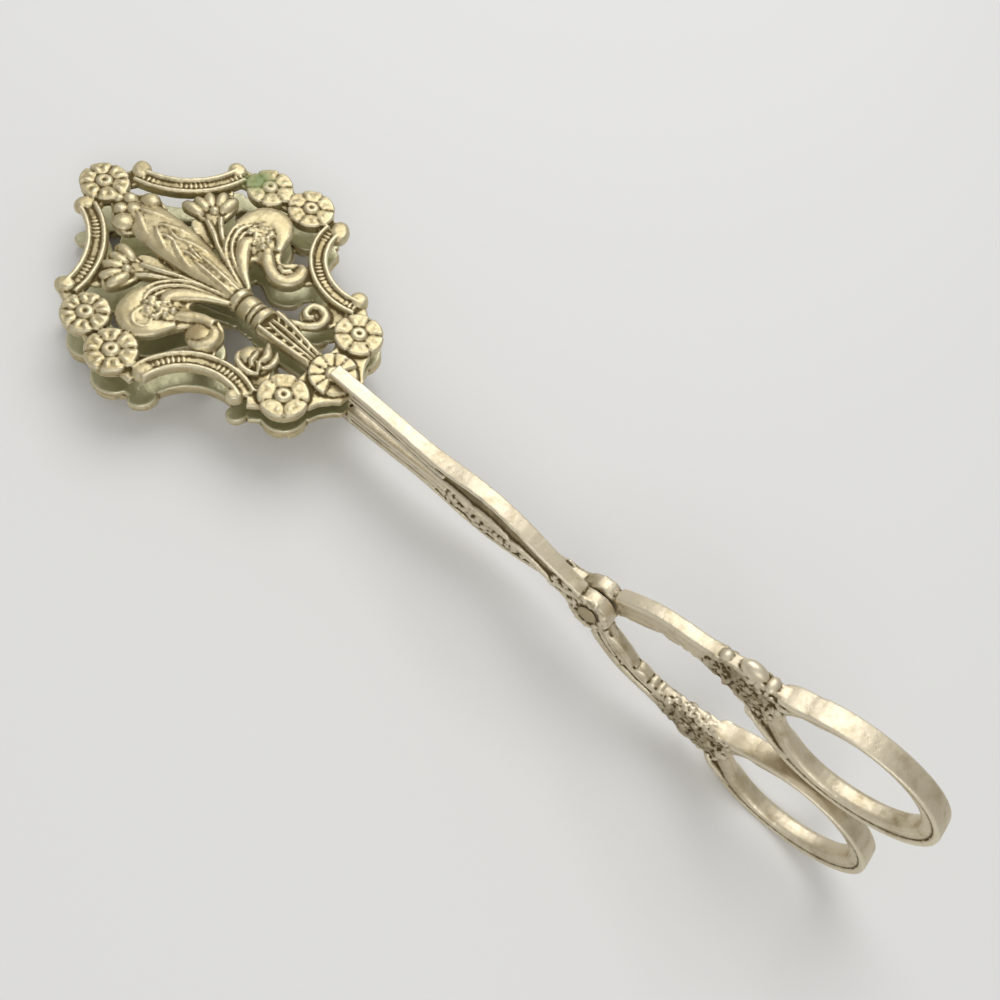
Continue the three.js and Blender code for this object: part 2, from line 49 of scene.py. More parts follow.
# Camera at the photograph's angle, for a square picture
shot = {
    "place": (-0.02945, 0.08972, 0.19751),
    "right": (-0.74426, -0.62533, 0.23458),
    "down": (-0.65950, 0.63263, -0.40599),
    "forward": (0.10548, -0.45687, -0.88325),
    "lens": 36.0,
    "sensor": 36.0,
    "seen": (0.01, 20.0),  # nearest and farthest
}


def makeCamera(values):
    data = bpy.data.cameras.new("tableCamera")
    data.sensor_fit = "HORIZONTAL"
    data.sensor_width = values["sensor"]
    data.lens = values["lens"]
    data.clip_start, data.clip_end = values["seen"]
    camera = bpy.data.objects.new("tableCamera", data)
    scene.collection.objects.link(camera)
    turned = Matrix((values["right"], -Vector(values["down"]), -Vector(values["forward"]))).transposed()
    camera.matrix_world = Matrix.Translation(values["place"]) @ turned.to_4x4()
    scene.camera = camera


# Two soft panels over the table, and a grey room round it
lighting = {
    "room": 0.5,
    "roomColour": (1.0, 0.99, 0.97, 1.0),
    "panels": [
        {"name": "windowPanel", "place": (0.22, -0.32, 0.55), "size": 0.5, "watts": 1.85},
        {"name": "handPanel", "place": (-0.28, 0.36, 0.5), "size": 0.4, "watts": 0.9},
    ],
    "floorColour": (0.8, 0.8, 0.79, 1.0),
    "floorRoughness": 0.9,
    "floorShine": 0.1,
    "floorHalf": 3.0,
    "floorHeight": -0.0002,  # just under the tongs
}


def makeLighting(values):
    world = bpy.data.worlds.new("greyRoom")
    world.use_nodes = True
    room = world.node_tree.nodes["Background"]
    room.inputs["Color"].default_value = values["roomColour"]
    room.inputs["Strength"].default_value = values["room"]
    scene.world = world
    for panel in values["panels"]:
        data = bpy.data.lights.new(panel["name"], "AREA")
        data.shape = "DISK"
        data.size = panel["size"]
        data.energy = panel["watts"]
        lamp = bpy.data.objects.new(panel["name"], data)
        lamp.location = panel["place"]
        lamp.rotation_mode = "QUATERNION"
        lamp.rotation_quaternion = (-Vector(panel["place"])).to_track_quat("-Z", "Y")
        scene.collection.objects.link(lamp)
    bm = bmesh.new()
    bmesh.ops.create_grid(bm, x_segments=1, y_segments=1, size=values["floorHalf"])
    mesh = bpy.data.meshes.new("tableTop")
    bm.to_mesh(mesh)
    bm.free()
    floor = bpy.data.objects.new("tableTop", mesh)
    floor.location.z = values["floorHeight"]
    scene.collection.objects.link(floor)
    material = bpy.data.materials.new("paleTable")
    material.use_nodes = True
    shader = material.node_tree.nodes["Principled BSDF"]
    shader.inputs["Base Color"].default_value = values["floorColour"]
    shader.inputs["Roughness"].default_value = values["floorRoughness"]
    shader.inputs["Specular IOR Level"].default_value = values["floorShine"]
    mesh.materials.append(material)


makeCamera(shot)
makeLighting(lighting)
print("camera, light and table ready")

# Both halves are modelled in one frame, in millimetres from the rivet, and then put in place
halves = {"tableTilt": 4.9647, "opening": 1.7, "metres": 0.001}


def halfPlaces(values):
    low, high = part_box("pivot_rivet")
    tilted = Matrix.Rotation(math.radians(values["tableTilt"]), 4, "Y")
    level = Matrix.Translation((low + high) / 2) @ tilted
    opened = Matrix.Rotation(math.radians(-values["opening"]), 4, "Y")
    turnedOver = Matrix.Rotation(math.pi, 4, "X")
    small = Matrix.Scale(values["metres"], 4)
    return {"upper": level @ opened @ small, "lower": level @ turnedOver @ opened @ small}, level @ small


halfPlace, rivetPlace = halfPlaces(halves)


def press(mould, shape):
    # adds one closed shape to the mould
    sheet = bpy.data.meshes.new("shape")
    shape.to_mesh(sheet)
    shape.free()
    mould.from_mesh(sheet)
    bpy.data.meshes.remove(sheet)


def curvePoint(t, before, start, end, after):
    # a smooth step from start to end that keeps the direction of their neighbours
    slope = (end - before) * t
    bend = (2 * before - 5 * start + 4 * end - after) * t * t
    twist = (3 * start - before - 3 * end + after) * t ** 3
    return 0.5 * (2 * start + slope + bend + twist)


def smoothRun(stops, between=4):
    # a smooth run through stops that hold any number of values
    run = []
    last = len(stops) - 1
    for i in range(last):
        near = (stops[max(i - 1, 0)], stops[i], stops[i + 1], stops[min(i + 2, last)])
        for k in range(between):
            run.append([curvePoint(k / between, *values) for values in zip(*near)])
    run.append(list(stops[-1]))
    return run


def drawBar(mould, stops, square=1.0, sides=10, across=None, between=4):
    # stops hold x, y, z, half width and half height; square below 1 flattens the section's faces
    thinnest = 0.05
    run = smoothRun(stops, between)
    shape = bmesh.new()
    bmesh.ops.create_circle(shape, cap_ends=True, segments=sides, radius=1.0)
    for v in shape.verts:
        v.co.x = math.copysign(abs(v.co.x) ** square, v.co.x)
        v.co.y = math.copysign(abs(v.co.y) ** square, v.co.y)
    ring = list(shape.verts)
    ringEdges = list(shape.edges)
    before = Matrix.Identity(4)
    for i, stop in enumerate(run):
        along = Vector(run[min(i + 1, len(run) - 1)][:3]) - Vector(run[max(i - 1, 0)][:3])
        along.normalize()
        side = across or Vector((0, 0, 1)).cross(along).normalized()
        up = along.cross(side)
        wide, high = (max(half, thinnest) for half in stop[3:])
        place = Matrix((side * wide, up * high, along)).transposed().to_4x4()
        place.translation = stop[:3]
        if i:
            grown = bmesh.ops.extrude_edge_only(shape, edges=ringEdges)["geom"]
            ring = [g for g in grown if isinstance(g, bmesh.types.BMVert)]
            ringEdges = [e for e in shape.edges if e.verts[0] in ring and e.verts[1] in ring]
        bmesh.ops.transform(shape, matrix=place @ before.inverted(), verts=ring)
        before = place
    bmesh.ops.contextual_create(shape, geom=ringEdges)
    bmesh.ops.recalc_face_normals(shape, faces=shape.faces)
    press(mould, shape)


def ridge(mould, stops, foot=0.0, square=1.0, sides=10, between=4):
    # stops hold x, y, top and half width; the ridge stands on foot
    lowest = 0.1
    bars = [(x, y, (top + foot) / 2, half, max((top - foot) / 2, lowest)) for x, y, top, half in stops]
    drawBar(mould, bars, square, sides, between=between)


def lump(mould, place, size, turn=0.0, axis="Z"):
    # a ball with its own half sizes, finer when it is big
    big = 1.2
    shape = bmesh.new()
    at = Matrix.Translation(place) @ Matrix.Rotation(turn, 4, axis) @ Matrix.Diagonal((*size, 1.0))
    fine = 3 if max(size) > big else 2
    bmesh.ops.create_icosphere(shape, subdivisions=fine, radius=1.0, matrix=at)
    press(mould, shape)


def turnShape(mould, profile, place, steps=20):
    # profile of radius and height, spun into a closed turning
    shape = bmesh.new()
    corners = [shape.verts.new((radius, 0.0, height)) for radius, height in profile]
    lines = [shape.edges.new(pair) for pair in zip(corners, corners[1:])]
    bmesh.ops.spin(
        shape, geom=corners + lines, cent=(0, 0, 0), axis=(0, 0, 1),
        angle=2 * math.pi, steps=steps, use_merge=True,
    )
    bmesh.ops.remove_doubles(shape, verts=shape.verts, dist=0.0005)
    bmesh.ops.recalc_face_normals(shape, faces=shape.faces)
    bmesh.ops.transform(shape, matrix=place, verts=shape.verts)
    press(mould, shape)


def slab(mould, outline, low, high, soft=0.35, between=3):
    # a flat plate with softened edges, from a smooth outline
    flat = 0.001
    stops = outline[-1:] + outline + outline[:2]
    run = smoothRun(stops, between)[between:-between - 1]
    shape = bmesh.new()
    corners = [shape.verts.new((x, y, low)) for x, y in run]
    shape.faces.new(corners)
    grown = bmesh.ops.extrude_face_region(shape, geom=shape.faces[:], use_keep_orig=True)["geom"]
    raisedCorners = [g for g in grown if isinstance(g, bmesh.types.BMVert)]
    bmesh.ops.translate(shape, verts=raisedCorners, vec=(0, 0, high - low))
    bmesh.ops.recalc_face_normals(shape, faces=shape.faces)
    rims = [e for e in shape.edges if abs(e.verts[0].co.z - e.verts[1].co.z) < flat]
    bmesh.ops.bevel(
        shape, geom=rims, offset=soft, affect="EDGES", segments=2, profile=0.5, material=-1,
        clamp_overlap=True,
    )
    press(mould, shape)


def cast(name, mould, values):
    # fuses the pressed shapes into one skin, worn soft and uneven as an old casting
    blank = bpy.data.objects.new(name, bpy.data.meshes.new(name))
    mould.to_mesh(blank.data)
    mould.free()
    scene.collection.objects.link(blank)
    fuse = blank.modifiers.new("fuse", "REMESH")
    fuse.mode = "VOXEL"
    fuse.voxel_size = values["grain"]
    fuse.use_smooth_shade = True
    soften = blank.modifiers.new("soften", "SMOOTH")
    soften.factor = 0.5
    soften.iterations = values["softening"]
    fused = takeMesh(blank, name)
    skin = bmesh.new()
    skin.from_mesh(fused)
    keepLargest(skin)
    skin.to_mesh(fused)
    skin.free()
    roughen(fused, values["rough"], values.get("crusts", ()))
    markHollows(fused)
    blank = bpy.data.objects.new(name, fused)
    scene.collection.objects.link(blank)
    thin = blank.modifiers.new("thin", "DECIMATE")
    thin.ratio = values["thinned"]
    thinned = takeMesh(blank, name)
    print(name, "cast with", len(thinned.polygons), "faces")
    return thinned


def takeMesh(blank, name):
    # the blank's finished shape, without the blank
    shape = bpy.data.meshes.new_from_object(blank.evaluated_get(bpy.context.evaluated_depsgraph_get()))
    old = blank.data
    bpy.data.objects.remove(blank)
    bpy.data.meshes.remove(old)
    shape.name = name
    return shape


def keepLargest(skin):
    # bubbles shut inside the casting are dropped
    seen = set()
    groups = []
    for start in skin.verts:
        if start in seen:
            continue
        seen.add(start)
        group = [start]
        for v in group:
            for e in v.link_edges:
                other = e.other_vert(v)
                if other not in seen:
                    seen.add(other)
                    group.append(other)
        groups.append(group)
    groups.sort(key=len)
    spare = [v for group in groups[:-1] for v in group]
    bmesh.ops.delete(skin, geom=spare, context="VERTS")


# Wear of every casting, with noise sizes per millimetre
wear = {
    "bumps": (0.55, 1.5, 0.7),  # coarse and fine noise, and share of the fine one
    "pits": (0.62, 1.3, 0.55),
    "aside": (7.0, 3.0, 1.0),  # keeps the noises apart
    "sideways": (0.25, 0.35),  # how far a face has to look sideways to take a crust
    "softEnds": 1.0,
    "softEdges": 0.5,
    "hollowTurns": 6,
    "deepTurns": 60,
}


def vertexRows(mesh):
    # places and directions of all vertices, a row for each
    places = np.empty(len(mesh.vertices) * 3)
    mesh.vertices.foreach_get("co", places)
    facing = np.empty(len(mesh.vertices) * 3)
    mesh.vertex_normals.foreach_get("vector", facing)
    return places.reshape(-1, 3), facing.reshape(-1, 3)


def within(values, start, end, soft):
    # 1 between start and end and 0 outside, with soft ends
    return np.interp(values, (start - soft, start + soft, end - soft, end + soft), (0, 1, 1, 0))


def climb(values, start, length):
    # 0 up to start, and 1 from a length after it
    return np.clip((values - start) / length, 0.0, 1.0)


def roughen(mesh, amount, crusts):
    # a little unevenness everywhere, and pitted crusts on the sides between two distances along the piece
    spots, facing = vertexRows(mesh)
    aside = Vector(wear["aside"])
    bumpCoarse, bumpFine, bumpShare = wear["bumps"]
    pitCoarse, pitFine, pitShare = wear["pits"]
    bumps = np.empty(len(spots))
    pits = np.empty(len(spots))
    for i, spot in enumerate(spots):
        place = Vector(spot)
        bumps[i] = noise.noise(place * bumpCoarse) + bumpShare * noise.noise(place * bumpFine + aside)
        pits[i] = noise.noise(place * pitCoarse - aside) + pitShare * noise.noise(place * pitFine)
    moved = bumps * amount
    onSide = climb(np.abs(facing[:, 1]), *wear["sideways"])
    for start, end, under, over, depth in crusts:
        share = within(spots[:, 0], start, end, wear["softEnds"])
        share *= within(spots[:, 2], under, over, wear["softEdges"])
        moved += pits * depth * share * onSide
    spots += facing * moved[:, None]
    mesh.vertices.foreach_set("co", spots.ravel())
    mesh.update()


def markHollows(mesh):
    # how far each spot lies below its surroundings, in millimetres, and less than 0 where it stands proud
    spots, facing = vertexRows(mesh)
    count = len(spots)
    ends = np.empty(len(mesh.edges) * 2, dtype=np.int64)
    mesh.edges.foreach_get("vertices", ends)
    first, second = ends.reshape(-1, 2).T
    share = np.bincount(ends, minlength=count)
    relaxed = spots.copy()
    marks = {}
    for turn in range(wear["deepTurns"]):
        total = [
            np.bincount(first, relaxed[second, k], count) + np.bincount(second, relaxed[first, k], count)
            for k in range(3)
        ]
        relaxed = np.stack(total, 1) / share[:, None]
        if turn + 1 == wear["hollowTurns"]:
            marks["hollow"] = ((relaxed - spots) * facing).sum(1)
    marks["deep"] = ((relaxed - spots) * facing).sum(1)
    marks["back"] = np.clip(-facing[:, 2], 0.0, 1.0)
    for name, values in marks.items():
        layer = mesh.attributes.new(name, "FLOAT", "POINT")
        layer.data.foreach_set("value", values.astype(np.float32))


def placePiece(name, mesh, place, node, body, material):
    # a copy of the casting on its own half, kept inside the part that it stands for
    own = mesh.copy()
    own.name = name
    own.transform(place)
    low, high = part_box(node)
    for v in own.vertices:
        v.co = [min(max(c, a), b) for c, a, b in zip(v.co, low, high)]
    own.materials.clear()
    own.materials.append(material)
    piece = bpy.data.objects.new(name, own)
    scene.collection.objects.link(piece)
    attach(piece, body)
    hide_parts(node)


# Jaw plate: flowers and rim arcs round a fleur-de-lis, all raised from a plain back
plate = {
    "back": -0.5,
    "grain": 0.23,
    "softening": 1,
    "rough": 0.06,
    "thinned": 0.54,
    "flowers": [  # along, across, radius, petals, turn of the first petal in degrees, rise of the ribs
        (140.0, 0.0, 5.3, 6, 30, 0.22),
        (116.0, 25.6, 5.0, 6, 8, 0.22),
        (116.0, -25.8, 5.3, 6, 20, 0.15),
        (105.7, 28.0, 5.3, 6, 22, 0.2),
        (105.7, -28.3, 5.3, 6, 10, 0.15),
        (74.9, 11.1, 5.3, 5, 28, 0.15),
        (74.9, -11.1, 5.3, 6, 13, 0.15),
    ],
    "rosette": (71.6, 0.0, 5.3, 11, 0, 0.0),
    "rosetteSpread": 118.0,  # the arm covers the rosette's other petals
    "flowerFoot": [  # share of the radius, height over the back
        (0.0, 0.0), (0.93, 0.0), (0.98, 0.35), (0.97, 1.8), (0.9, 2.25), (0.0, 2.25),
    ],
    "petalFoot": 0.5,
    "petalTop": 2.3,
    "petalSoft": 0.35,
    "petalLine": 0.08,  # half width of the line between petals
    "petalRoot": (0.36, 0.6),  # shares of the radius
    "petalEdge": [(0.92, 0.95), (0.68, 1.0), (0.3, 1.01)],  # shares of the half angle and of the radius
    "petalRibs": (-0.47, 0.47),  # shares of the half angle
    "ribReach": 0.68,
    "ribSize": (0.3, 0.29),
    "ribSunk": 0.6,
    "studTop": 2.7,
    "stud": [  # radius, height from its top
        (0, -0.28), (0.35, -0.24), (0.65, -0.03), (1.1, 0), (1.55, -0.16), (1.85, -0.5), (1.9, -2.3),
        (0, -2.3),
    ],
    "webTop": 1.2,
    "webs": [  # low bars between neighbours: from, to, half width
        ((140.0, 0.0), (137.4, 6.7), 2.2),
        ((122.9, 23.8), (116.0, 25.8), 2.4),
        ((116.0, 25.8), (105.7, 28.3), 2.8),
        ((105.7, 28.3), (98.5, 27.9), 2.4),
        ((80.3, 15.9), (74.9, 11.1), 2.6),
        ((74.9, 11.1), (71.6, 0.0), 2.6),
    ],
    "baseWeb": [(75.5, 1.0), (75.5, 8.0), (70.4, 9.6), (69.0, 7.0), (67.3, 4.6), (65.6, 2.9), (65.4, 0.5)],
}


def flower(mould, along, across, radius, petals, turn, rise, spread=180.0):
    # a foot, flat petals with two soft ribs each, and a dimpled stud
    at = Matrix.Translation((along, across, 0))
    foot = [(share * radius, plate["back"] + height) for share, height in plate["flowerFoot"]]
    turnShape(mould, foot, at, steps=32)
    top = plate["petalTop"]
    wedge = math.pi / petals
    half = []
    for reach in plate["petalRoot"]:
        half.append((reach * radius, reach * radius * math.tan(wedge) - plate["petalLine"]))
    for share, reach in plate["petalEdge"]:
        half.append((reach * radius * math.cos(share * wedge), reach * radius * math.sin(share * wedge)))
    outline = half + mirrored(half[::-1], -1)
    long, wide = plate["ribSize"]
    ribs = plate["petalRibs"] if rise else ()
    for i in range(petals):
        degrees = (turn + 360.0 * i / petals + 180.0) % 360.0 - 180.0
        if abs(degrees) > spread:
            continue
        angle = math.radians(degrees)
        spun = Matrix.Rotation(angle, 2)
        corners = [spun @ Vector(corner) for corner in outline]
        corners = [(along + v.x, across + v.y) for v in corners]
        slab(mould, corners, plate["petalFoot"], top, plate["petalSoft"], between=2)
        for share in ribs:
            lean = angle + share * wedge
            away = plate["ribReach"] * radius
            spot = (along + away * math.cos(lean), across + away * math.sin(lean), top - plate["ribSunk"])
            lump(mould, spot, (long * radius, wide * radius * wedge, rise + plate["ribSunk"]), lean)
    stud = [(reach, plate["studTop"] + height) for reach, height in plate["stud"]]
    turnShape(mould, stud, at, steps=16)


# Rim arcs: a plain strip, a channel with worn rungs and a ridge, with a knob at each end
rim = {
    "arcs": [  # from, to, how far it curves in
        ((137.42, 6.72), (122.92, 23.82), 3.4),
        ((98.51, 27.92), (80.25, 15.92), 5.6),
    ],
    "bands": [  # offset outwards, half width, foot, top, squareness
        (0.0, 2.15, -0.5, 1.5, 0.35), (1.62, 0.58, 0.0, 2.2, 0.6), (-1.5, 0.6, 0.0, 2.15, 0.7),
    ],
    "rungPitch": 1.0,
    "rungOffset": 0.06,
    "rungFoot": 1.0,
    "rungTop": 1.8,
    "rungSize": (1.3, 0.38),
    "rungWear": 0.32,
    "rungWave": (2.1, 0.8, 0.5),  # half waves along the arc, shift to each side, start
    "endTop": 2.1,
    "endDome": [(0.0, 0.0), (0.5, 0.03), (0.78, 0.25), (0.95, 0.8), (1.0, 1.4)],  # share of the radius, drop
    "endFoot": 0.86,
    "ends": [  # along, across, radius, how long, direction in degrees
        (138.5, 7.3, 1.95, 1.3, 250), (124.8, 23.7, 2.0, 1.15, 200),
        (138.5, -9.0, 2.15, 1.35, 130), (125.0, -24.3, 2.15, 1.1, 160),
        (98.4, 27.0, 2.0, 1.2, 240), (81.6, 17.6, 1.5, 1.3, 40),
        (97.8, -29.6, 2.2, 1.45, 120), (81.3, -17.9, 2.15, 1.1, 300),
    ],
}


def rimArc(mould, start, end, depth, side):
    start = Vector((start[0], side * start[1]))
    end = Vector((end[0], side * end[1]))
    chord = end - start
    radius = chord.length_squared / (8 * depth) + depth / 2
    outward = Vector((-chord.y, chord.x)).normalized()
    if outward.y * start.y < 0:
        outward.negate()
    centre = (start + end) / 2 + outward * (radius - depth)
    first = math.atan2(start.y - centre.y, start.x - centre.x)
    sweep = (math.atan2(end.y - centre.y, end.x - centre.x) - first + math.pi) % (2 * math.pi) - math.pi

    def along(share, offset):
        angle = first + sweep * share
        reach = radius - offset
        return centre.x + reach * math.cos(angle), centre.y + reach * math.sin(angle)

    steps = 8
    for offset, width, foot, top, square in rim["bands"]:
        stops = [(*along(i / steps, offset), top, width) for i in range(steps + 1)]
        ridge(mould, stops, foot, square, sides=12, between=3)
    foot = rim["rungFoot"]
    waves, shift, begin = rim["rungWave"]
    rungs = int(radius * abs(sweep) / rim["rungPitch"])
    for i in range(rungs):
        share = (i + 0.5) / rungs
        x, y = along(share, rim["rungOffset"])
        # the rungs are worn down in places, elsewhere on each side
        worn = rim["rungWear"] * math.sin(waves * share * math.pi + shift * side + begin) ** 2
        lump(mould, (x, y, foot), (*rim["rungSize"], rim["rungTop"] - foot - worn), first + sweep * share)


def rimEnd(mould, along, across, radius, long, degrees):
    # a low rounded knob
    turn = math.radians(degrees)
    top = rim["endTop"]
    profile = [(share * radius, top - drop) for share, drop in rim["endDome"]]
    profile += [(radius, 0.0), (rim["endFoot"] * radius, plate["back"]), (0, plate["back"])]
    stretch = Matrix.Rotation(turn, 4, "Z") @ Matrix.Diagonal((long, 1.0, 1.0, 1.0))
    inward = Vector((math.cos(turn), math.sin(turn), 0)) * radius * (long - 1)
    turnShape(mould, profile, Matrix.Translation(Vector((along, across, 0)) + inward) @ stretch, steps=20)


# Fleur-de-lis: collar, bud, stems with tulips, side leaves, tail and scrolls
fleur = {
    "collarAt": 95.3,
    "collar": [  # along from the middle, radius
        (-4.5, 0.0), (-4.5, 2.9), (-4.1, 3.3), (-2.9, 3.35), (-2.4, 2.75), (-2.0, 2.75), (-1.7, 3.1),
        (-1.3, 3.1), (-1.0, 2.7), (-0.7, 2.7), (-0.5, 3.0), (0.6, 3.1), (1.7, 3.0), (2.0, 2.6),
        (2.4, 2.6), (2.7, 3.2), (3.9, 3.3), (4.3, 2.9), (4.3, 0.0),
    ],
    "budBody": [  # along, across, top, half width
        (97.6, 0.0, 1.9, 2.2), (102.0, 0.0, 2.1, 2.7), (108.0, 0.0, 2.35, 3.7), (113.5, 0.0, 2.5, 4.6),
        (118.5, 0.0, 2.5, 5.1), (124.0, 0.0, 2.35, 5.0), (129.0, 0.0, 2.1, 4.2), (133.5, 0.0, 1.7, 2.6),
    ],
    "budLobes": [  # points along and across with half widths; drawn on both sides
        [(98.6, 0.8, 0.55), (104.0, 0.85, 0.75), (109.0, 0.95, 0.8), (111.2, 0.95, 0.45)],
        [(99.0, 2.2, 0.45), (103.0, 2.4, 0.6), (107.0, 2.8, 0.65), (109.6, 3.0, 0.4)],
        [(107.5, 3.4, 0.4), (110.5, 2.7, 0.95), (113.5, 2.2, 1.1), (116.5, 1.2, 1.0), (118.2, 0.45, 0.4)],
        [(111.5, 4.2, 0.4), (114.5, 3.9, 0.9), (118.0, 3.0, 1.2), (121.5, 1.6, 1.1), (123.4, 0.5, 0.4)],
        [(116.5, 4.7, 0.4), (120.5, 4.0, 1.0), (124.5, 2.6, 1.25), (127.5, 1.2, 1.0), (129.0, 0.5, 0.4)],
        [(110.8, 0.35, 0.4), (113.0, 0.5, 0.6), (115.0, 1.0, 0.5)],
        [(117.5, 0.4, 0.4), (119.5, 0.6, 0.6), (121.0, 1.0, 0.4)],
    ],
    "lobeEnds": 0.02,  # how proud of the body the lobes' ends and middles stand
    "lobeRise": 0.32,
    "lobeSwell": (0.15, 0.65),  # start and length of the half wave that a lobe follows
    "budFullness": 2.6,
    "budEdge": 0.97,
    "berryMiddle": 1.3,
    "berryHeight": (0.75, 0.25),  # least, and share of the radius
    "berries": [  # along, across, radius
        (132.3, 2.3, 1.7), (129.3, 4.4, 2.4), (133.2, -1.0, 1.7), (130.0, -3.8, 2.2), (134.8, 0.7, 1.3),
        (130.6, 0.4, 1.8),
    ],
    "berryBedTop": 1.2,
    "berryBed": [
        (125.6, 4.2), (128.0, 6.6), (130.8, 6.0), (133.4, 4.0), (135.8, 2.0), (135.8, -1.6), (133.6, -3.0),
        (131.2, -5.4), (128.4, -5.6), (125.6, -4.2),
    ],
}


def collar(mould):
    profile = [(radius, run) for run, radius in fleur["collar"]]
    lying = Matrix.Translation((fleur["collarAt"], 0, plate["back"])) @ Matrix.Rotation(math.pi / 2, 4, "Y")
    turnShape(mould, profile, lying, steps=28)


def budSurface(x, y):
    # height of the plump body under a lobe
    run = smoothRun(fleur["budBody"], 6)
    station = min(run, key=lambda stop: abs(stop[0] - x))
    share = min(abs(y) / station[3], fleur["budEdge"])
    return plate["back"] + (station[2] - plate["back"]) * (1 - share ** fleur["budFullness"]) ** 0.5


def bud(mould):
    ridge(mould, fleur["budBody"], plate["back"], square=0.78, sides=20)
    start, length = fleur["lobeSwell"]
    for lobe in fleur["budLobes"]:
        for side in (-1, 1):
            last = len(lobe) - 1
            stops = []
            for i, (x, y, half) in enumerate(lobe):
                swell = math.sin(math.pi * (start + length * i / last))
                proud = fleur["lobeEnds"] + fleur["lobeRise"] * swell
                stops.append((x, side * y, budSurface(x, y) + proud, half))
            ridge(mould, stops, foot=0.3, square=0.9, sides=8)
    least, share = fleur["berryHeight"]
    for x, y, radius in fleur["berries"]:
        lump(mould, (x, y, fleur["berryMiddle"]), (radius, radius, least + share * radius))
    slab(mould, fleur["berryBed"], plate["back"], fleur["berryBedTop"], soft=0.3)


# Side leaf, drawn on one side; the other is its mirror image
leaf = {
    "outline": [
        (99.1, 1.1), (103.5, 3.0), (108.0, 5.6), (112.0, 9.4), (114.2, 13.5), (114.2, 17.5), (112.4, 21.0),
        (109.0, 22.8), (105.6, 22.0), (103.2, 19.4), (101.6, 15.4), (99.6, 13.0), (97.2, 15.4), (94.6, 16.2),
        (92.9, 14.2), (92.8, 10.8), (94.6, 8.4), (98.0, 7.4), (101.4, 9.0), (103.6, 9.6), (104.0, 7.4),
        (102.2, 4.8), (99.1, 3.3),
    ],
    "head": [  # middle and half sizes of the lumps that make the dome
        (108.0, 16.6, 0.3, 5.2, 5.2, 2.05), (105.2, 14.2, 0.2, 3.2, 3.6, 1.95),
        (107.6, 11.2, 0.2, 3.6, 3.0, 1.85), (106.6, 14.0, 0.2, 4.6, 4.0, 2.15),
        (103.4, 11.8, 0.2, 2.4, 2.6, 1.6),
    ],
    "crown": [  # along, across, top, half width
        (111.4, 10.6, 1.9, 0.7), (112.6, 13.7, 2.2, 1.4), (112.1, 16.8, 2.4, 2.3), (110.3, 19.4, 2.5, 3.0),
        (107.4, 20.1, 2.5, 3.0), (105.0, 18.6, 2.4, 2.4), (103.4, 16.6, 2.2, 1.5), (102.2, 14.6, 1.9, 0.8),
    ],
    "comma": [
        (99.0, 2.8, 1.7, 0.55), (103.0, 5.2, 2.1, 1.1), (106.2, 7.9, 2.4, 1.6), (108.0, 10.4, 2.5, 1.65),
        (107.8, 12.0, 2.45, 1.3), (106.8, 12.6, 2.1, 0.8),
    ],
    "ribs": [
        [
            (99.4, 1.8, 1.6, 0.4), (105.0, 3.6, 1.9, 0.5), (109.6, 6.2, 2.1, 0.55), (112.2, 10.0, 2.2, 0.6),
            (113.0, 13.0, 2.2, 0.5),
        ],
        [
            (103.0, 4.0, 1.6, 0.4), (107.5, 6.2, 2.1, 0.5), (110.4, 9.2, 2.2, 0.6), (111.6, 12.6, 2.3, 0.65),
            (110.8, 15.2, 2.2, 0.5),
        ],
        [
            (107.0, 7.4, 1.8, 0.35), (109.4, 9.8, 2.1, 0.5), (110.2, 12.4, 2.25, 0.55),
            (109.6, 14.4, 2.1, 0.45),
        ],
    ],
    "grains": 24,  # small bumps on the dome
    "grainsAt": (106.9, 14.3),
    "grainsReach": (3.4, 2.5),
    "grainSize": (0.5, 0.8),
    "grainHeight": 2.3,
    "grainSunk": 0.55,
    "hook": [
        (104.4, 13.6, 1.9, 1.1), (102.4, 11.6, 2.2, 1.4), (99.8, 9.8, 2.3, 1.45), (97.0, 9.1, 2.4, 1.55),
        (95.0, 10.2, 2.4, 1.7), (94.3, 12.4, 2.35, 1.7), (95.0, 14.6, 2.1, 1.4), (96.2, 15.5, 1.7, 0.8),
    ],
    "hookInside": [(99.2, 11.9, 1.9, 0.6), (97.4, 11.2, 2.2, 0.9), (96.4, 12.8, 2.1, 0.9)],
    "ball": (97.0, 12.3, 0.2, 3.6, 3.5, 2.0),
    "ballRim": [
        (98.4, 9.6, 1.9, 0.8), (95.4, 10.3, 2.2, 1.3), (94.4, 12.6, 2.35, 1.5), (95.6, 15.0, 2.1, 1.2),
        (97.6, 15.4, 1.7, 0.6),
    ],
    "ear": [
        (109.6, 16.6, 2.3, 0.6), (109.3, 19.2, 2.7, 0.6), (107.2, 20.6, 2.7, 0.65), (105.3, 19.4, 2.6, 0.6),
        (106.0, 17.4, 2.4, 0.6),
    ],
}


def mirrored(stops, side):
    return [(x, side * y, *rest) for x, y, *rest in stops]


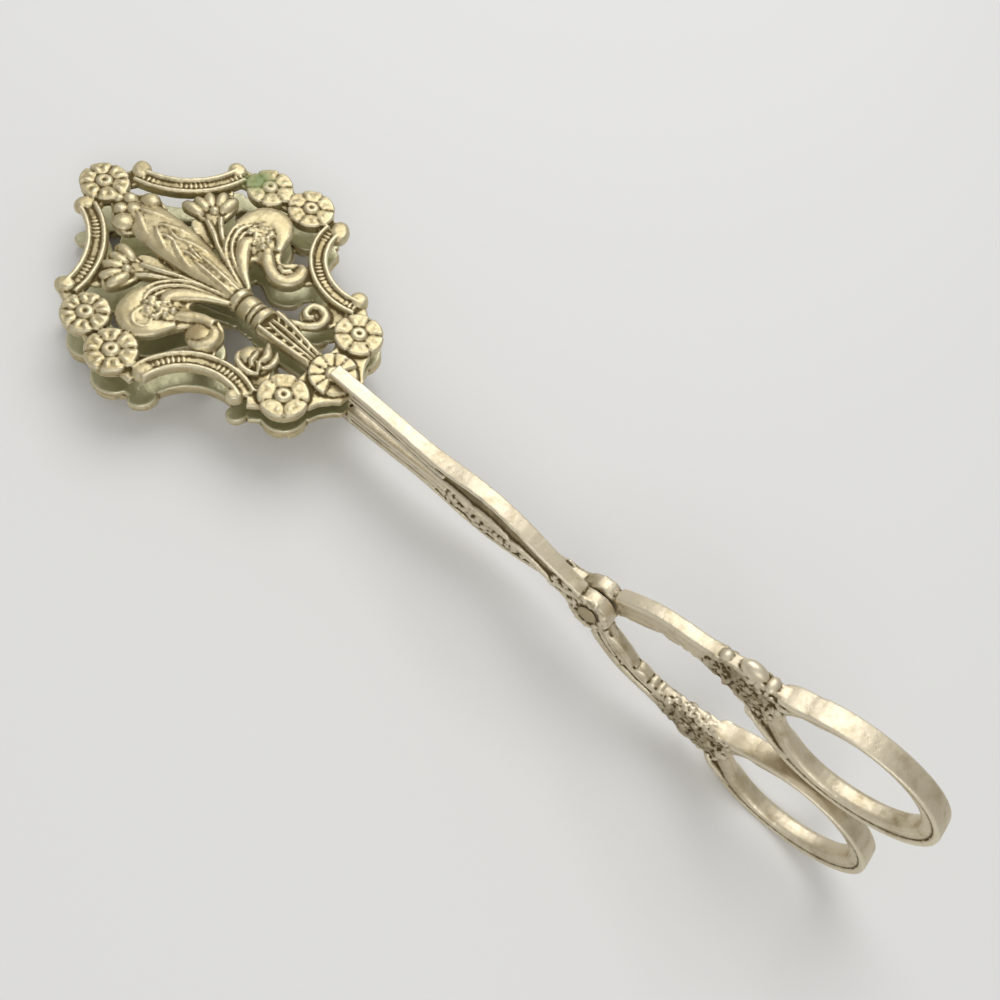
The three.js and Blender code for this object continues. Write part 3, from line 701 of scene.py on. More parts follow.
def sideLeaf(mould, side):
    slab(mould, mirrored(leaf["outline"], side), plate["back"], high=1.3)
    for x, y, z, *size in leaf["head"]:
        lump(mould, (x, side * y, z), size)
    ridge(mould, mirrored(leaf["crown"], side), foot=0.2, square=0.8, sides=14)
    ridge(mould, mirrored(leaf["comma"], side), foot=0.3, square=0.85, sides=12)
    for rib in leaf["ribs"]:
        ridge(mould, mirrored(rib, side), foot=0.4, square=0.9, sides=8)
    x, y = leaf["grainsAt"]
    long, wide = leaf["grainsReach"]
    dice = random.Random(5)
    for _ in range(leaf["grains"]):
        angle = dice.uniform(0, 2 * math.pi)
        away = dice.random() ** 0.5
        size = dice.uniform(*leaf["grainSize"])
        run = x + long * away * math.cos(angle)
        aside = side * (y + wide * away * math.sin(angle))
        height = leaf["grainHeight"] - leaf["grainSunk"] * size
        lump(mould, (run, aside, height), (size, size, size))
    if side > 0:
        # on this side the hook ends in a round lump and the crown has a curled ear
        ridge(mould, leaf["hook"][:4], foot=-0.2, square=0.85, sides=12)
        x, y, z, *size = leaf["ball"]
        lump(mould, (x, y, z), size)
        ridge(mould, leaf["ballRim"], foot=0.2, square=0.9)
        ridge(mould, leaf["ear"], foot=1.0, square=0.9, sides=8)
    else:
        ridge(mould, mirrored(leaf["hook"], side), foot=-0.2, square=0.85, sides=12)
        ridge(mould, mirrored(leaf["hookInside"], side), foot=0.2, square=0.9, sides=8)


# Stem with a tulip of rounded petals
stem = {
    "base": [
        (98.0, 2.0, 1.0, 1.0), (105.0, 4.2, 1.2, 1.15), (111.0, 6.6, 1.4, 1.3), (116.0, 9.4, 1.5, 1.8),
        (119.0, 11.4, 1.5, 1.8),
    ],
    "rails": [
        [
            (98.6, 1.6, 1.6, 0.4), (105.0, 3.5, 1.9, 0.5), (111.0, 5.7, 2.0, 0.6), (115.0, 7.8, 2.1, 0.7),
            (118.4, 9.2, 1.9, 0.6),
        ],
        [
            (98.6, 2.4, 1.5, 0.4), (105.0, 4.7, 1.8, 0.5), (111.0, 7.3, 1.9, 0.6), (114.8, 9.9, 2.1, 0.7),
            (117.0, 12.0, 1.9, 0.6),
        ],
    ],
    "flower": [
        (116.4, 10.4), (118.6, 8.8), (121.6, 8.4), (124.2, 7.8), (125.7, 8.6), (125.6, 10.0), (124.6, 10.9),
        (124.9, 12.4), (123.9, 13.0), (124.4, 14.4), (123.2, 15.6), (121.6, 15.3), (121.2, 17.0),
        (120.0, 18.4), (118.2, 18.4), (117.0, 16.6), (116.2, 13.4),
    ],
    "petals": [  # along, across, direction in degrees, half length, half width
        (122.7, 9.3, -8, 2.8, 1.45), (122.4, 11.5, 8, 2.5, 1.35), (121.8, 13.4, 35, 2.6, 1.4),
        (120.4, 15.3, 62, 2.7, 1.4), (118.4, 15.4, 88, 2.9, 1.45),
    ],
    "petalTop": 2.35,
    "heart": (119.3, 12.2, 1.2),
    "webOutline": [(112.0, 4.6), (114.5, 7.0), (118.5, 9.0), (121.2, 7.8), (119.6, 5.8), (115.5, 4.8)],
    "rimWeb": [(120.0, 16.0), (124.0, 13.6), (127.0, 14.6), (125.0, 18.6), (121.0, 19.6)],
}


def stemAndTulip(mould, side):
    back = plate["back"]
    ridge(mould, mirrored(stem["base"], side), back, square=0.5, sides=12)
    for rail in stem["rails"]:
        ridge(mould, mirrored(rail, side), foot=0.2, square=0.9, sides=8)
    slab(mould, mirrored(stem["flower"], side), back, high=1.25, soft=0.3)
    middle = stem["petalTop"] / 2
    for x, y, degrees, long, wide in stem["petals"]:
        lump(mould, (x, side * y, middle), (long, wide, middle), math.radians(side * degrees))
    x, y, radius = stem["heart"]
    lump(mould, (x, side * y, radius), (radius, radius, radius))
    slab(mould, mirrored(stem["webOutline"], side), back, high=0.5, soft=0.25)
    slab(mould, mirrored(stem["rimWeb"], side), back, high=0.7, soft=0.25)


# Tail with ridges and short strokes; a scroll on one side of it and a rosebud on the other
tail = {
    "outline": [(70.0, 2.2), (76.0, 2.3), (81.0, 2.7), (86.0, 3.3), (90.8, 3.5)],
    "edges": [(77.5, 1.5, 1.9, 0.5), (82.0, 2.0, 2.1, 0.6), (86.5, 2.5, 2.3, 0.65), (90.8, 2.7, 2.3, 0.6)],
    "spine": [
        (77.5, 0.4, 1.9, 0.32), (82.0, 0.6, 2.1, 0.4), (86.5, 0.75, 2.25, 0.42), (89.8, 0.55, 2.25, 0.4),
    ],
    "strokesAt": (79.4, 81.6, 83.8, 86.0, 88.2),
    "stroke": [(0.0, 0.9, 1.85, 0.3), (0.6, 1.4, 2.0, 0.34), (1.3, 2.0, 1.95, 0.3)],
    "volute": [
        (88.8, 2.6, 1.5, 0.6), (86.3, 3.6, 1.9, 0.85), (84.0, 4.9, 2.0, 1.0), (82.5, 7.0, 2.1, 1.05),
        (82.9, 9.3, 2.2, 1.05), (85.0, 10.3, 2.2, 1.0), (86.8, 9.2, 2.2, 0.95), (86.6, 7.2, 2.25, 0.85),
        (85.3, 6.5, 2.3, 0.75), (84.5, 7.5, 2.35, 0.7),
    ],
    "roseDome": (87.0, 9.0, 0.7, 2.3, 2.7, 1.45),
    "rosePetals": [
        [
            (89.0, 9.6, 1.6, 0.4), (87.8, 11.4, 2.1, 0.7), (85.6, 12.2, 2.3, 0.8), (83.4, 11.8, 2.2, 0.7),
            (82.2, 10.8, 1.7, 0.4),
        ],
        [(86.4, 4.0, 1.5, 0.4), (85.0, 5.4, 2.1, 0.9), (83.9, 7.0, 2.4, 1.05), (84.0, 8.6, 2.3, 0.6)],
        [(83.6, 4.2, 1.4, 0.35), (82.4, 5.8, 1.9, 0.75), (81.9, 7.8, 2.1, 0.8), (82.6, 9.4, 1.9, 0.45)],
        [(86.2, 7.0, 2.0, 0.4), (85.6, 8.4, 2.5, 0.75), (85.2, 9.9, 2.6, 0.75), (84.2, 10.7, 2.4, 0.5)],
        [(84.6, 9.2, 2.1, 0.4), (83.4, 9.5, 2.4, 0.65), (82.9, 10.4, 2.1, 0.45)],
    ],
    "scrollAt": (84.8, 8.2),
    "scrollFoot": [  # radius, height over the back
        (0, 0.0), (3.0, 0.0), (3.5, 0.4), (3.4, 1.5), (2.6, 1.8), (0, 1.8),
    ],
    "fins": [  # low plain webs towards the rim
        [(86.6, 9.8), (85.0, 13.8), (81.2, 14.0), (80.2, 10.0), (82.6, 7.6)],
        [(95.6, 13.6), (95.4, 16.6), (91.6, 15.2), (92.6, 12.6)],
    ],
}


def tailAndScrolls(mould):
    back = plate["back"]
    half = tail["outline"]
    slab(mould, half + mirrored(half[::-1], -1), back, high=1.5)
    foot = [(radius, back + height) for radius, height in tail["scrollFoot"]]
    for side in (-1, 1):
        ridge(mould, mirrored(tail["edges"], side), foot=0.4, square=0.85, sides=8)
        ridge(mould, mirrored(tail["spine"], side), foot=0.4, square=0.9, sides=8)
        for x in tail["strokesAt"]:
            stroke = [(x + run, side * y, top, wide) for run, y, top, wide in tail["stroke"]]
            ridge(mould, stroke, foot=0.6, square=0.9, sides=8, between=2)
        for fin in tail["fins"]:
            slab(mould, mirrored(fin, side), back, high=0.7, soft=0.25)
        x, y = tail["scrollAt"]
        turnShape(mould, foot, Matrix.Translation((x, side * y, 0)))
    ridge(mould, mirrored(tail["volute"], -1), foot=0.2, square=0.85)
    x, y, z, *size = tail["roseDome"]
    lump(mould, (x, y, z), size)
    for petal in tail["rosePetals"]:
        ridge(mould, petal, foot=0.3, square=0.9)


def makePlate():
    mould = bmesh.new()
    for values in plate["flowers"]:
        flower(mould, *values)
    flower(mould, *plate["rosette"], spread=plate["rosetteSpread"])
    for side in (-1, 1):
        for start, end, depth in rim["arcs"]:
            rimArc(mould, start, end, depth, side)
        for (x0, y0), (x1, y1), half in plate["webs"]:
            web = [(x0, side * y0, plate["webTop"], half), (x1, side * y1, plate["webTop"], half)]
            ridge(mould, web, plate["back"], square=0.4, sides=12, between=2)
        slab(mould, mirrored(plate["baseWeb"], side), plate["back"], plate["webTop"], soft=0.3)
        sideLeaf(mould, side)
        stemAndTulip(mould, side)
    for end in rim["ends"]:
        rimEnd(mould, *end)
    collar(mould)
    bud(mould)
    tailAndScrolls(mould)
    for v in mould.verts:
        v.co.z = max(v.co.z, plate["back"])
    return cast("jawPlate", mould, plate)


plateMesh = makePlate()

# Arm: plain polished top and bottom rails, a recessed side with relief, and a finger loop
arm = {
    "grain": 0.22,
    "softening": 1,
    "rough": 0.022,
    "crusts": [  # from and to along, from and to in height, depth of the pits
        (-38.0, -22.5, -14.6, -4.0, 0.4), (-5.0, 10.0, -8.0, 8.0, 0.14), (10.0, 42.0, 0.0, 9.0, 0.07),
    ],
    "thinned": 0.8,
    "thick": 3.5,
    "gap": 0.4,
    "toJaw": (13.0, 47.5),  # where the arm leaves its side for the middle, and over what length
    "toLoop": (9.0, 19.5),
    "loopAside": 0.9,
    "bow": (8.0, 36.0),  # start and length
    "jawReach": 66.0,
    "tongue": (5.5, 1.8),  # length past the arm and thickness
    "tongueOverlap": 1.0,
    "jawStops": [  # along, height over the rivet, section height, section thickness
        (-1.62, -0.2, 6.2, 3.5), (4.05, 1.3, 6.3, 3.5), (8.91, 2.39, 5.9, 3.5), (14.04, 3.88, 5.41, 4.05),
        (19.98, 5.19, 5.2, 4.54), (27.0, 5.7, 5.2, 4.6), (33.24, 4.74, 5.04, 4.54),
        (39.09, 3.26, 4.68, 4.27), (46.11, 2.3, 4.3, 3.78), (55.86, 2.0, 4.1, 3.5), (66.0, 2.0, 4.1, 3.5),
    ],
    "handleStops": [
        (-32.86, -11.76, 8.8, 3.5), (-31.0, -12.0, 8.3, 3.5), (-25.1, -11.16, 6.03, 3.5),
        (-20.15, -9.96, 5.2, 3.5), (-16.12, -9.0, 5.0, 3.5), (-12.09, -7.44, 5.6, 3.5),
        (-8.06, -5.28, 5.9, 3.5), (-4.03, -2.64, 6.2, 3.5), (1.24, 0.3, 6.0, 3.5),
    ],
    # lower and upper share of the height, thinner by, squareness, from and to along, thinner in the bow
    "jawRails": [
        (0.04, 0.96, 0.85, 0.45, -2.0, 66.0, 0.0), (0.7, 1.0, 0.0, 0.4, 41.0, 66.0, 0.0),
        (0.82, 1.0, 0.0, 0.45, 2.6, 43.0, 0.42),
        (0.0, 0.26, 0.0, 0.5, 38.0, 66.0, 0.0), (0.0, 0.2, 0.5, 0.6, -2.0, 39.0, 0.0),
        (0.34, 0.58, 0.08, 0.6, 38.0, 66.0, 0.0),
    ],
    "handleRails": [
        (0.03, 0.97, 0.7, 0.5, -33.0, 2.0, 0.0), (0.6, 0.86, 0.0, 0.5, -33.0, -2.9, 0.0),
        (0.0, 0.36, 0.0, 0.45, -33.0, -2.9, 0.0),
    ],
    "handleFill": (0.05, 0.8, 0.9),  # lower and upper share and half thickness of the plain inner side
    "handleFillAlong": (-22.0, 19.0),  # start and length
    "knuckles": [  # rounded pads on the handle's inner edge: from, to, rise
        (-5.8, -13.4, 1.7), (-13.8, -17.6, 1.7), (-17.8, -19.6, 1.2), (-19.8, -21.4, 1.15),
        (-21.6, -23.4, 1.2),
    ],
    "knuckleShape": [(0.0, 0.25), (0.12, 0.72), (0.5, 1.0), (0.88, 0.72), (1.0, 0.25)],
    "knuckleShare": 0.8,
    "inset": 0.05,  # of the knuckles and of the plain inner side
    "bossRadius": 4.9,
    "bossFace": 1.4,
    "bossEdge": (0.5, 0.6),
    "boreRadius": 1.75,
    "humps": [(38.0, 182.0), (205.0, 335.0)],  # where the boss is as thick as the arm, in degrees
    "humpHalf": 0.85,
}
rivetAxis = Vector((0, 1, 0))


def ease(value, start, length):
    # 0 up to start, 1 from a length after it, and smooth between them
    t = min(max((value - start) / length, 0.0), 1.0)
    return t * t * (3 - 2 * t)


def sideways(x):
    # the arms stand side by side at the rivet and come to the middle towards their ends
    offset = (arm["gap"] + arm["thick"]) / 2
    if x > 0:
        return offset * (1 - ease(x, *arm["toJaw"]))
    return offset + (arm["loopAside"] - offset) * ease(-x, *arm["toLoop"])


def bowShare(x):
    # 1 in the middle of the bow and 0 outside it
    start, length = arm["bow"]
    return math.sin(math.pi * min(max((x - start) / length, 0.0), 1.0)) ** 2


def armRail(mould, stations, low, high, thin, square, start, end, pinch):
    # a rail between two shares of the section's height, thinner than the arm by thin on each side
    run = smoothRun(stations, 3)
    stops = []
    for i, (x, z, height, thick) in enumerate(run):
        if not start <= x <= end:
            continue
        ahead = run[min(i + 1, len(run) - 1)]
        behind = run[max(i - 1, 0)]
        up = Vector((behind[1] - ahead[1], ahead[0] - behind[0])).normalized()
        lift = ((low + high) / 2 - 0.5) * height
        half = thick / 2 - thin - pinch * bowShare(x)
        stops.append((x + up.x * lift, sideways(x), z + up.y * lift, half, (high - low) * height / 2))
    drawBar(mould, stops, square, sides=12, across=rivetAxis, between=1)


def armSpot(stations, x, share):
    # middle of the arm at a distance along it and a share of its height, and its half thickness
    run = smoothRun(stations, 8)
    station = min(run, key=lambda s: abs(s[0] - x))
    return Vector((x, sideways(x), station[1] + (share - 0.5) * station[2])), station[3] / 2


# Leaf relief on the sides of the bow and of the rivet boss, as shares of the arm's height
relief = {
    "leaves": [  # along and share of the foot and the tip, half width
        (20.8, 0.14, 8.6, 0.14, 0.85), (31.0, 0.1, 19.6, 0.08, 0.75), (42.0, 0.22, 30.0, 0.08, 0.65),
    ],
    "leafShape": [(0.0, 0.2), (0.2, 0.75), (0.5, 1.0), (0.8, 0.8), (1.0, 0.25)],
    "leafDepth": 0.85,
    "crumbLong": (1.0, 2.1),  # shares of a crumb's size
    "crumbHigh": (0.7, 1.0),
    "crumbDeep": (0.45, 0.8),
    # crumbs: along, share of the height, side, depth of the middle, sizes, how far they turn
    "edgeCrumbs": 34,
    "edge": ((8.0, 42.0), (0.0, 0.1), 1, 0.75, (0.45, 0.7), 0.5),
    "innerCrumbs": 70,
    "inner": ((8.0, 42.0), (0.22, 0.7), -1, 0.9, (0.55, 1.0), math.pi),
    "footCrumbs": 26,
    "jawFoot": ((3.5, 10.0), (0.05, 0.6), 1, 1.0, (0.4, 0.7), math.pi),
    "handleFoot": ((-12.0, -3.5), (0.3, 0.66), 1, 0.9, (0.35, 0.65), math.pi),
    "bossCrumbs": 46,
    "bossReach": (2.7, 4.6),
    "bossSizes": (0.35, 0.7),
    "bossSunk": 0.2,
    "bossLeafSunk": 0.4,
    "bossLeafHalf": 0.72,
    "bossLeaves": [  # along, height and half width of each curled leaf beside the rivet
        [(9.0, 1.0, 0.3), (5.5, 1.6, 0.8), (2.6, 3.0, 0.9), (-1.5, 3.4, 0.8), (-4.2, 2.0, 0.4)],
        [(8.0, -0.4, 0.3), (5.0, -0.6, 0.8), (3.4, -2.0, 0.8), (1.2, -3.6, 0.8), (-2.0, -3.9, 0.4)],
        [(3.8, 0.9, 0.4), (3.4, 0.0, 0.7), (3.6, -0.9, 0.4)],
        [(-2.8, 1.6, 0.4), (-3.5, -0.2, 0.9), (-4.2, -2.0, 0.9), (-6.5, -4.4, 0.8), (-9.5, -6.4, 0.4)],
        [(-2.4, -2.6, 0.4), (-3.4, -4.0, 0.8), (-5.6, -5.6, 0.8), (-8.0, -7.4, 0.4)],
        [(-5.0, -0.6, 0.3), (-6.0, -2.2, 0.6), (-8.4, -4.4, 0.6), (-11.0, -5.8, 0.3)],
    ],
}


def crumb(mould, place, size, dice, spread=math.pi):
    # one ragged scrap of leaf on the arm's side
    long = size * dice.uniform(*relief["crumbLong"])
    deep = dice.uniform(*relief["crumbDeep"])
    high = size * dice.uniform(*relief["crumbHigh"])
    lump(mould, place, (long, deep, high), dice.uniform(0, spread), "Y")


def sideCrumb(mould, dice, stations, along, shares, side, sunk, sizes, spread):
    # a crumb somewhere on one side of the arm
    x = dice.uniform(*along)
    spot, thick = armSpot(stations, x, dice.uniform(*shares))
    crumb(mould, (x, spot.y + side * (thick - sunk), spot.z), dice.uniform(*sizes), dice, spread)


def sideRelief(mould):
    jaw = arm["jawStops"]
    dice = random.Random(3)
    depth = relief["leafDepth"]
    for x0, share0, x1, share1, half in relief["leaves"]:
        # long lens leaves along the lower edge of the outer side
        stops = []
        for k, fill in relief["leafShape"]:
            spot, thick = armSpot(jaw, x0 + (x1 - x0) * k, share0 + (share1 - share0) * k)
            stops.append((spot.x, spot.y + thick - depth, spot.z, depth, half * fill))
        drawBar(mould, stops, square=1.0, sides=12, across=rivetAxis)
    for _ in range(relief["edgeCrumbs"]):
        sideCrumb(mould, dice, jaw, *relief["edge"])
    for _ in range(relief["innerCrumbs"]):
        sideCrumb(mould, dice, jaw, *relief["inner"])
    face = sideways(0) + arm["bossFace"] - relief["bossSunk"]
    for _ in range(relief["bossCrumbs"]):
        reach = dice.uniform(*relief["bossReach"])
        angle = dice.uniform(0, 2 * math.pi)
        spot = (reach * math.cos(angle), face, reach * math.sin(angle))
        crumb(mould, spot, dice.uniform(*relief["bossSizes"]), dice)
    for _ in range(relief["footCrumbs"]):
        sideCrumb(mould, dice, jaw, *relief["jawFoot"])
        sideCrumb(mould, dice, arm["handleStops"], *relief["handleFoot"])
    for side in (-1, 1):
        face = sideways(0) + side * (arm["bossFace"] - relief["bossLeafSunk"])
        for points in relief["bossLeaves"]:
            stops = [(x, face, z, relief["bossLeafHalf"], half) for x, z, half in points]
            drawBar(mould, stops, square=0.8, sides=10, across=rivetAxis)


def handleSide(mould):
    # the handle's side towards the other arm is plain
    low, high, half = arm["handleFill"]
    start, length = arm["handleFillAlong"]
    steps = 12
    stops = []
    for i in range(steps + 1):
        x = start + length * i / steps
        spot, thick = armSpot(arm["handleStops"], x, (low + high) / 2)
        under, thick = armSpot(arm["handleStops"], x, low)
        aside = spot.y - thick + half + arm["inset"]
        stops.append((spot.x, aside, spot.z, half, spot.z - under.z))
    drawBar(mould, stops, square=0.4, sides=12, across=rivetAxis, between=1)


def knuckles(mould):
    for x0, x1, high in arm["knuckles"]:
        stops = []
        for k, rise in arm["knuckleShape"]:
            spot, thick = armSpot(arm["handleStops"], x0 + (x1 - x0) * k, arm["knuckleShare"])
            stops.append((spot.x, spot.y, spot.z, thick - arm["inset"], rise * high))
        drawBar(mould, stops, square=0.7, sides=12, across=rivetAxis)


def humps(mould):
    half = arm["humpHalf"]
    reach = arm["bossRadius"] - half
    steps = 12
    for first, last in arm["humps"]:
        stops = []
        for i in range(steps + 1):
            angle = math.radians(first + (last - first) * i / steps)
            x, z = reach * math.cos(angle), reach * math.sin(angle)
            stops.append((x, sideways(0), z, arm["thick"] / 2, half))
        drawBar(mould, stops, square=0.55, sides=12, across=rivetAxis, between=1)


# Finger loop: an oval band, flat and wide outside and rounded towards the finger
loop = {
    "middle": (-53.73, -10.46),
    "outer": (18.4, 11.8),
    "hole": (14.0, 9.6),
    "pointed": 0.3,
    "layers": [  # shares of the band from the hole outwards, half width, squareness
        (0.0, 0.92, 2.2, 0.75), (0.68, 1.0, 2.62, 0.4),
    ],
    "narrow": 1.5,  # half width beside the leaf cluster
    "narrowing": (0.62, 0.2),
    # how the flat band starts beside the leaf cluster: along, height over the loop's middle, half width
    "roots": [
        [(-24.0, 2.2, 1.2), (-29.0, 3.1, 1.3), (-34.0, 4.4, 1.5), (-36.0, 5.1, 1.5)],
        [
            (-33.8, 4.2, 2.0), (-35.6, 5.0, 2.45), (-37.0, 5.7, 2.6), (-39.5, 7.1, 2.6), (-42.5, 8.5, 2.6),
            (-45.5, 9.5, 2.4),
        ],
        [(-32.0, -4.3, 1.3), (-34.5, -5.0, 1.4), (-37.0, -5.9, 1.5), (-38.5, -6.5, 1.5)],
        [
            (-36.4, -5.4, 2.0), (-37.6, -6.1, 2.45), (-38.8, -6.8, 2.6), (-41.0, -7.8, 2.6),
            (-44.0, -9.1, 2.4),
        ],
    ],
    "rootThick": 0.65,
}


def fingerLoop(mould):
    cx, cz = loop["middle"]
    ax, az = loop["outer"]
    hx, hz = loop["hole"]
    steps = 60
    for low, high, wide, square in loop["layers"]:
        stops = []
        for i in range(steps + 1):
            angle = 2 * math.pi * i / steps
            near = max(math.cos(angle), 0.0)
            pinch = 1 - loop["pointed"] * near * near
            inner = Vector((cx + hx * math.cos(angle), cz + hz * math.sin(angle) * pinch))
            outer = Vector((cx + ax * math.cos(angle), cz + az * math.sin(angle)))
            spot = inner + (outer - inner) * (low + high) / 2
            # the band narrows where it grows out of the leaf cluster
            half = wide + (min(loop["narrow"], wide) - wide) * ease(near, *loop["narrowing"])
            thick = (outer - inner).length * (high - low) / 2
            stops.append((spot.x, arm["loopAside"], spot.y, half, thick))
        drawBar(mould, stops, square, sides=14, across=rivetAxis, between=1)
    for points in loop["roots"]:
        root = [(x, sideways(x), cz + z, half, loop["rootThick"]) for x, z, half in points]
        drawBar(mould, root, square=0.35, sides=12, across=rivetAxis)


# Leaf cluster where the handle spreads into the loop
cluster = {
    "spread": [  # along, height, half thickness, half height
        (-20.0, -10.0, 1.4, 2.4), (-25.0, -10.6, 1.45, 3.4), (-30.0, -11.1, 1.5, 4.5),
        (-34.0, -10.9, 1.5, 5.2), (-38.0, -10.5, 1.5, 5.9), (-39.6, -10.46, 1.4, 6.3),
    ],
    "sides": {-1: (-0.86, 0.6), 1: (-0.86, 0.86)},  # how far down and up the crumbs reach on each side
    "crumbs": 52,
    "crumbStations": (6, 42),
    "crumbSizes": (0.45, 0.6, 0.75, 1.0),
    "crumbSunk": 0.05,
    "topCrumbs": 20,
    "topStations": (6, 31),
    "topAside": (-1.0, 1.6),
    "topSizes": [(0.5, 1.1), (0.5, 1.1), (0.5, 0.8)],
    "topSunk": 0.3,
    "knob": (-30.4, 0.9, -15.9, 2.9, 1.75, 1.75),
    "beads": [
        (-25.2, 1.0, -13.6, 1.4, 1.75, 1.3), (-34.4, 0.9, -16.0, 1.3, 1.9, 0.9),
        (-22.4, 1.0, -12.5, 1.2, 1.7, 0.7),
    ],
}


def leafCluster(mould):
    stops = [(x, sideways(x), z, thick, half) for x, z, thick, half in cluster["spread"]]
    drawBar(mould, stops, square=0.45, sides=16, across=rivetAxis)
    run = smoothRun(cluster["spread"], 10)
    dice = random.Random(8)
    for side, (down, up) in cluster["sides"].items():
        for _ in range(cluster["crumbs"]):
            x, z, thick, half = run[dice.randrange(*cluster["crumbStations"])]
            aside = sideways(x) + side * (thick - cluster["crumbSunk"])
            spot = (x, aside, z + dice.uniform(down, up) * half)
            crumb(mould, spot, dice.choice(cluster["crumbSizes"]), dice)
    for _ in range(cluster["topCrumbs"]):
        x, z, thick, half = run[dice.randrange(*cluster["topStations"])]
        spot = (x, sideways(x) + dice.uniform(*cluster["topAside"]), z + half - cluster["topSunk"])
        lump(mould, spot, [dice.uniform(*sizes) for sizes in cluster["topSizes"]])
    for x, y, z, *size in [cluster["knob"]] + cluster["beads"]:
        lump(mould, (x, y, z), size)


# Darkening from tarnish and painted shade in the recessed side of the bow under its rails and round the
# rivet, and from tarnish in the leaf cluster
grime_and_shade = {
    "sunk": (0.45, 0.35),  # depth under the rails where it starts, and over what depth it grows
    "facing": (0.2, 0.4),  # the same for how far a face looks sideways
    "innerSide": 0.55,
    "recess": ((-12.0, -6.0, 40.0, 46.0), (0.0, 0.9, 1.0, 0.3)),  # along, amount
    "cluster": ((-38.5, -35.5, -25.0, -21.0), (0.0, 0.7, 0.7, 0.0)),
    "clusterHeight": -11.0,
    "clusterHalf": 3.4,
    "boss": 0.75,
    "bossReach": (5.2, 0.4),
    "bossSunk": (1.72, 0.25),
    "bossFacing": (0.3, 0.4),
}


def markGrimeAndShade(mesh):
    spots, facing = vertexRows(mesh)
    x, y, z = spots.T
    aside = np.abs(facing[:, 1])
    stations = np.array(arm["jawStops"])
    half = np.interp(x, stations[:, 0], stations[:, 3]) / 2
    middle = np.array([sideways(v) for v in x])
    fromMiddle = np.abs(y - middle)
    # the recess under the rails is darkened by tarnish and painted shade
    recess = climb(half - fromMiddle, *grime_and_shade["sunk"]) * climb(aside, *grime_and_shade["facing"])
    recess *= np.where(y > middle, 1.0, grime_and_shade["innerSide"])
    recess *= np.interp(x, *grime_and_shade["recess"])
    inside = grime_and_shade["clusterHalf"] - np.abs(z - grime_and_shade["clusterHeight"])
    crust = np.interp(x, *grime_and_shade["cluster"]) * np.clip(inside + np.clip(aside, 0.0, 1.0), 0.0, 1.0)
    # the ring round the rivet is darkened by tarnish and painted shade
    reach, fade = grime_and_shade["bossReach"]
    sunk, sunkFade = grime_and_shade["bossSunk"]
    boss = climb(-fromMiddle, -sunk, sunkFade) * climb(-np.hypot(x, z), -reach, fade)
    boss *= grime_and_shade["boss"] * climb(aside, *grime_and_shade["bossFacing"])
    layer = mesh.attributes.new("grime_and_shade", "FLOAT", "POINT")
    layer.data.foreach_set("value", np.maximum(np.maximum(recess, crust), boss).astype(np.float32))


def lyingInBoss():
    # lays an upright shape along the rivet, in the middle of the arm's boss
    return Matrix.Translation((0, sideways(0), 0)) @ Matrix.Rotation(math.pi / 2, 4, "X")


def drill(mesh, radius):
    # cuts the rivet's bore through the finished casting
    block = bpy.data.objects.new(mesh.name, mesh)
    scene.collection.objects.link(block)
    shape = bmesh.new()
    bmesh.ops.create_cone(
        shape, cap_ends=True, segments=32, radius1=radius, radius2=radius, depth=3 * arm["thick"],
        matrix=lyingInBoss(),
    )
    bit = bpy.data.objects.new("drillBit", bpy.data.meshes.new("drillBit"))
    shape.to_mesh(bit.data)
    shape.free()
    scene.collection.objects.link(bit)
    cut = block.modifiers.new("bore", "BOOLEAN")
    cut.operation = "DIFFERENCE"
    cut.solver = "EXACT"
    cut.object = bit
    drilled = takeMesh(block, mesh.name)
    spare = bit.data
    bpy.data.objects.remove(bit)
    bpy.data.meshes.remove(spare)
    return drilled


def makeArm():
    mould = bmesh.new()
    jaw = arm["jawStops"]
    handle = arm["handleStops"]
    for values in arm["jawRails"]:
        armRail(mould, jaw, *values)
    for values in arm["handleRails"]:
        armRail(mould, handle, *values)
    handleSide(mould)
    knuckles(mould)
    humps(mould)
    sideRelief(mould)
    radius = arm["bossRadius"]
    bore = arm["boreRadius"]
    face = arm["bossFace"]
    edge, depth = arm["bossEdge"]
    boss = [
        (bore, -face), (radius - edge, -face), (radius, depth - face), (radius, face - depth),
        (radius - edge, face), (bore, face), (bore, -face),
    ]
    turnShape(mould, boss, lyingInBoss(), steps=32)
    length, thick = arm["tongue"]
    reach = arm["jawReach"]
    height = jaw[-1][1] + jaw[-1][2] / 2 - thick / 2
    ends = (reach - arm["tongueOverlap"], reach + length)
    tongue = [(x, 0, height, arm["thick"] / 2, thick / 2) for x in ends]
    drawBar(mould, tongue, square=0.35, sides=12, across=rivetAxis, between=1)
    fingerLoop(mould)
    leafCluster(mould)
    mesh = drill(cast("tongArm", mould, arm), bore)
    markGrimeAndShade(mesh)
    return mesh


armMesh = makeArm()

# Rivet: a shank with a low domed head on each side
rivet = {
    "shank": 1.5,
    "head": 2.2,
    "seat": 3.4,
    "height": 0.72,
    "edge": (0.15, 0.2),
    "dome": [(0.86, 0.55), (0.55, 0.88), (0, 1.0)],  # shares of the head's radius and height
}


def makeRivet():
    mould = bmesh.new()
    head = rivet["head"]
    seat = rivet["seat"]
    edge, rise = rivet["edge"]
    top = [(rivet["shank"], seat), (head - edge, seat), (head, seat + rise)]
    top += [(share * head, seat + up * rivet["height"]) for share, up in rivet["dome"]]
    profile = [(r, -z) for r, z in reversed(top)] + top
    turnShape(mould, profile, Matrix.Rotation(math.pi / 2, 4, "X"), steps=40)
    mesh = bpy.data.meshes.new("rivet")
    mould.to_mesh(mesh)
    mould.free()
    mesh.polygons.foreach_set("use_smooth", [True] * len(mesh.polygons))
    markHollows(mesh)
    return mesh


rivetMesh = makeRivet()
print("rivet turned")
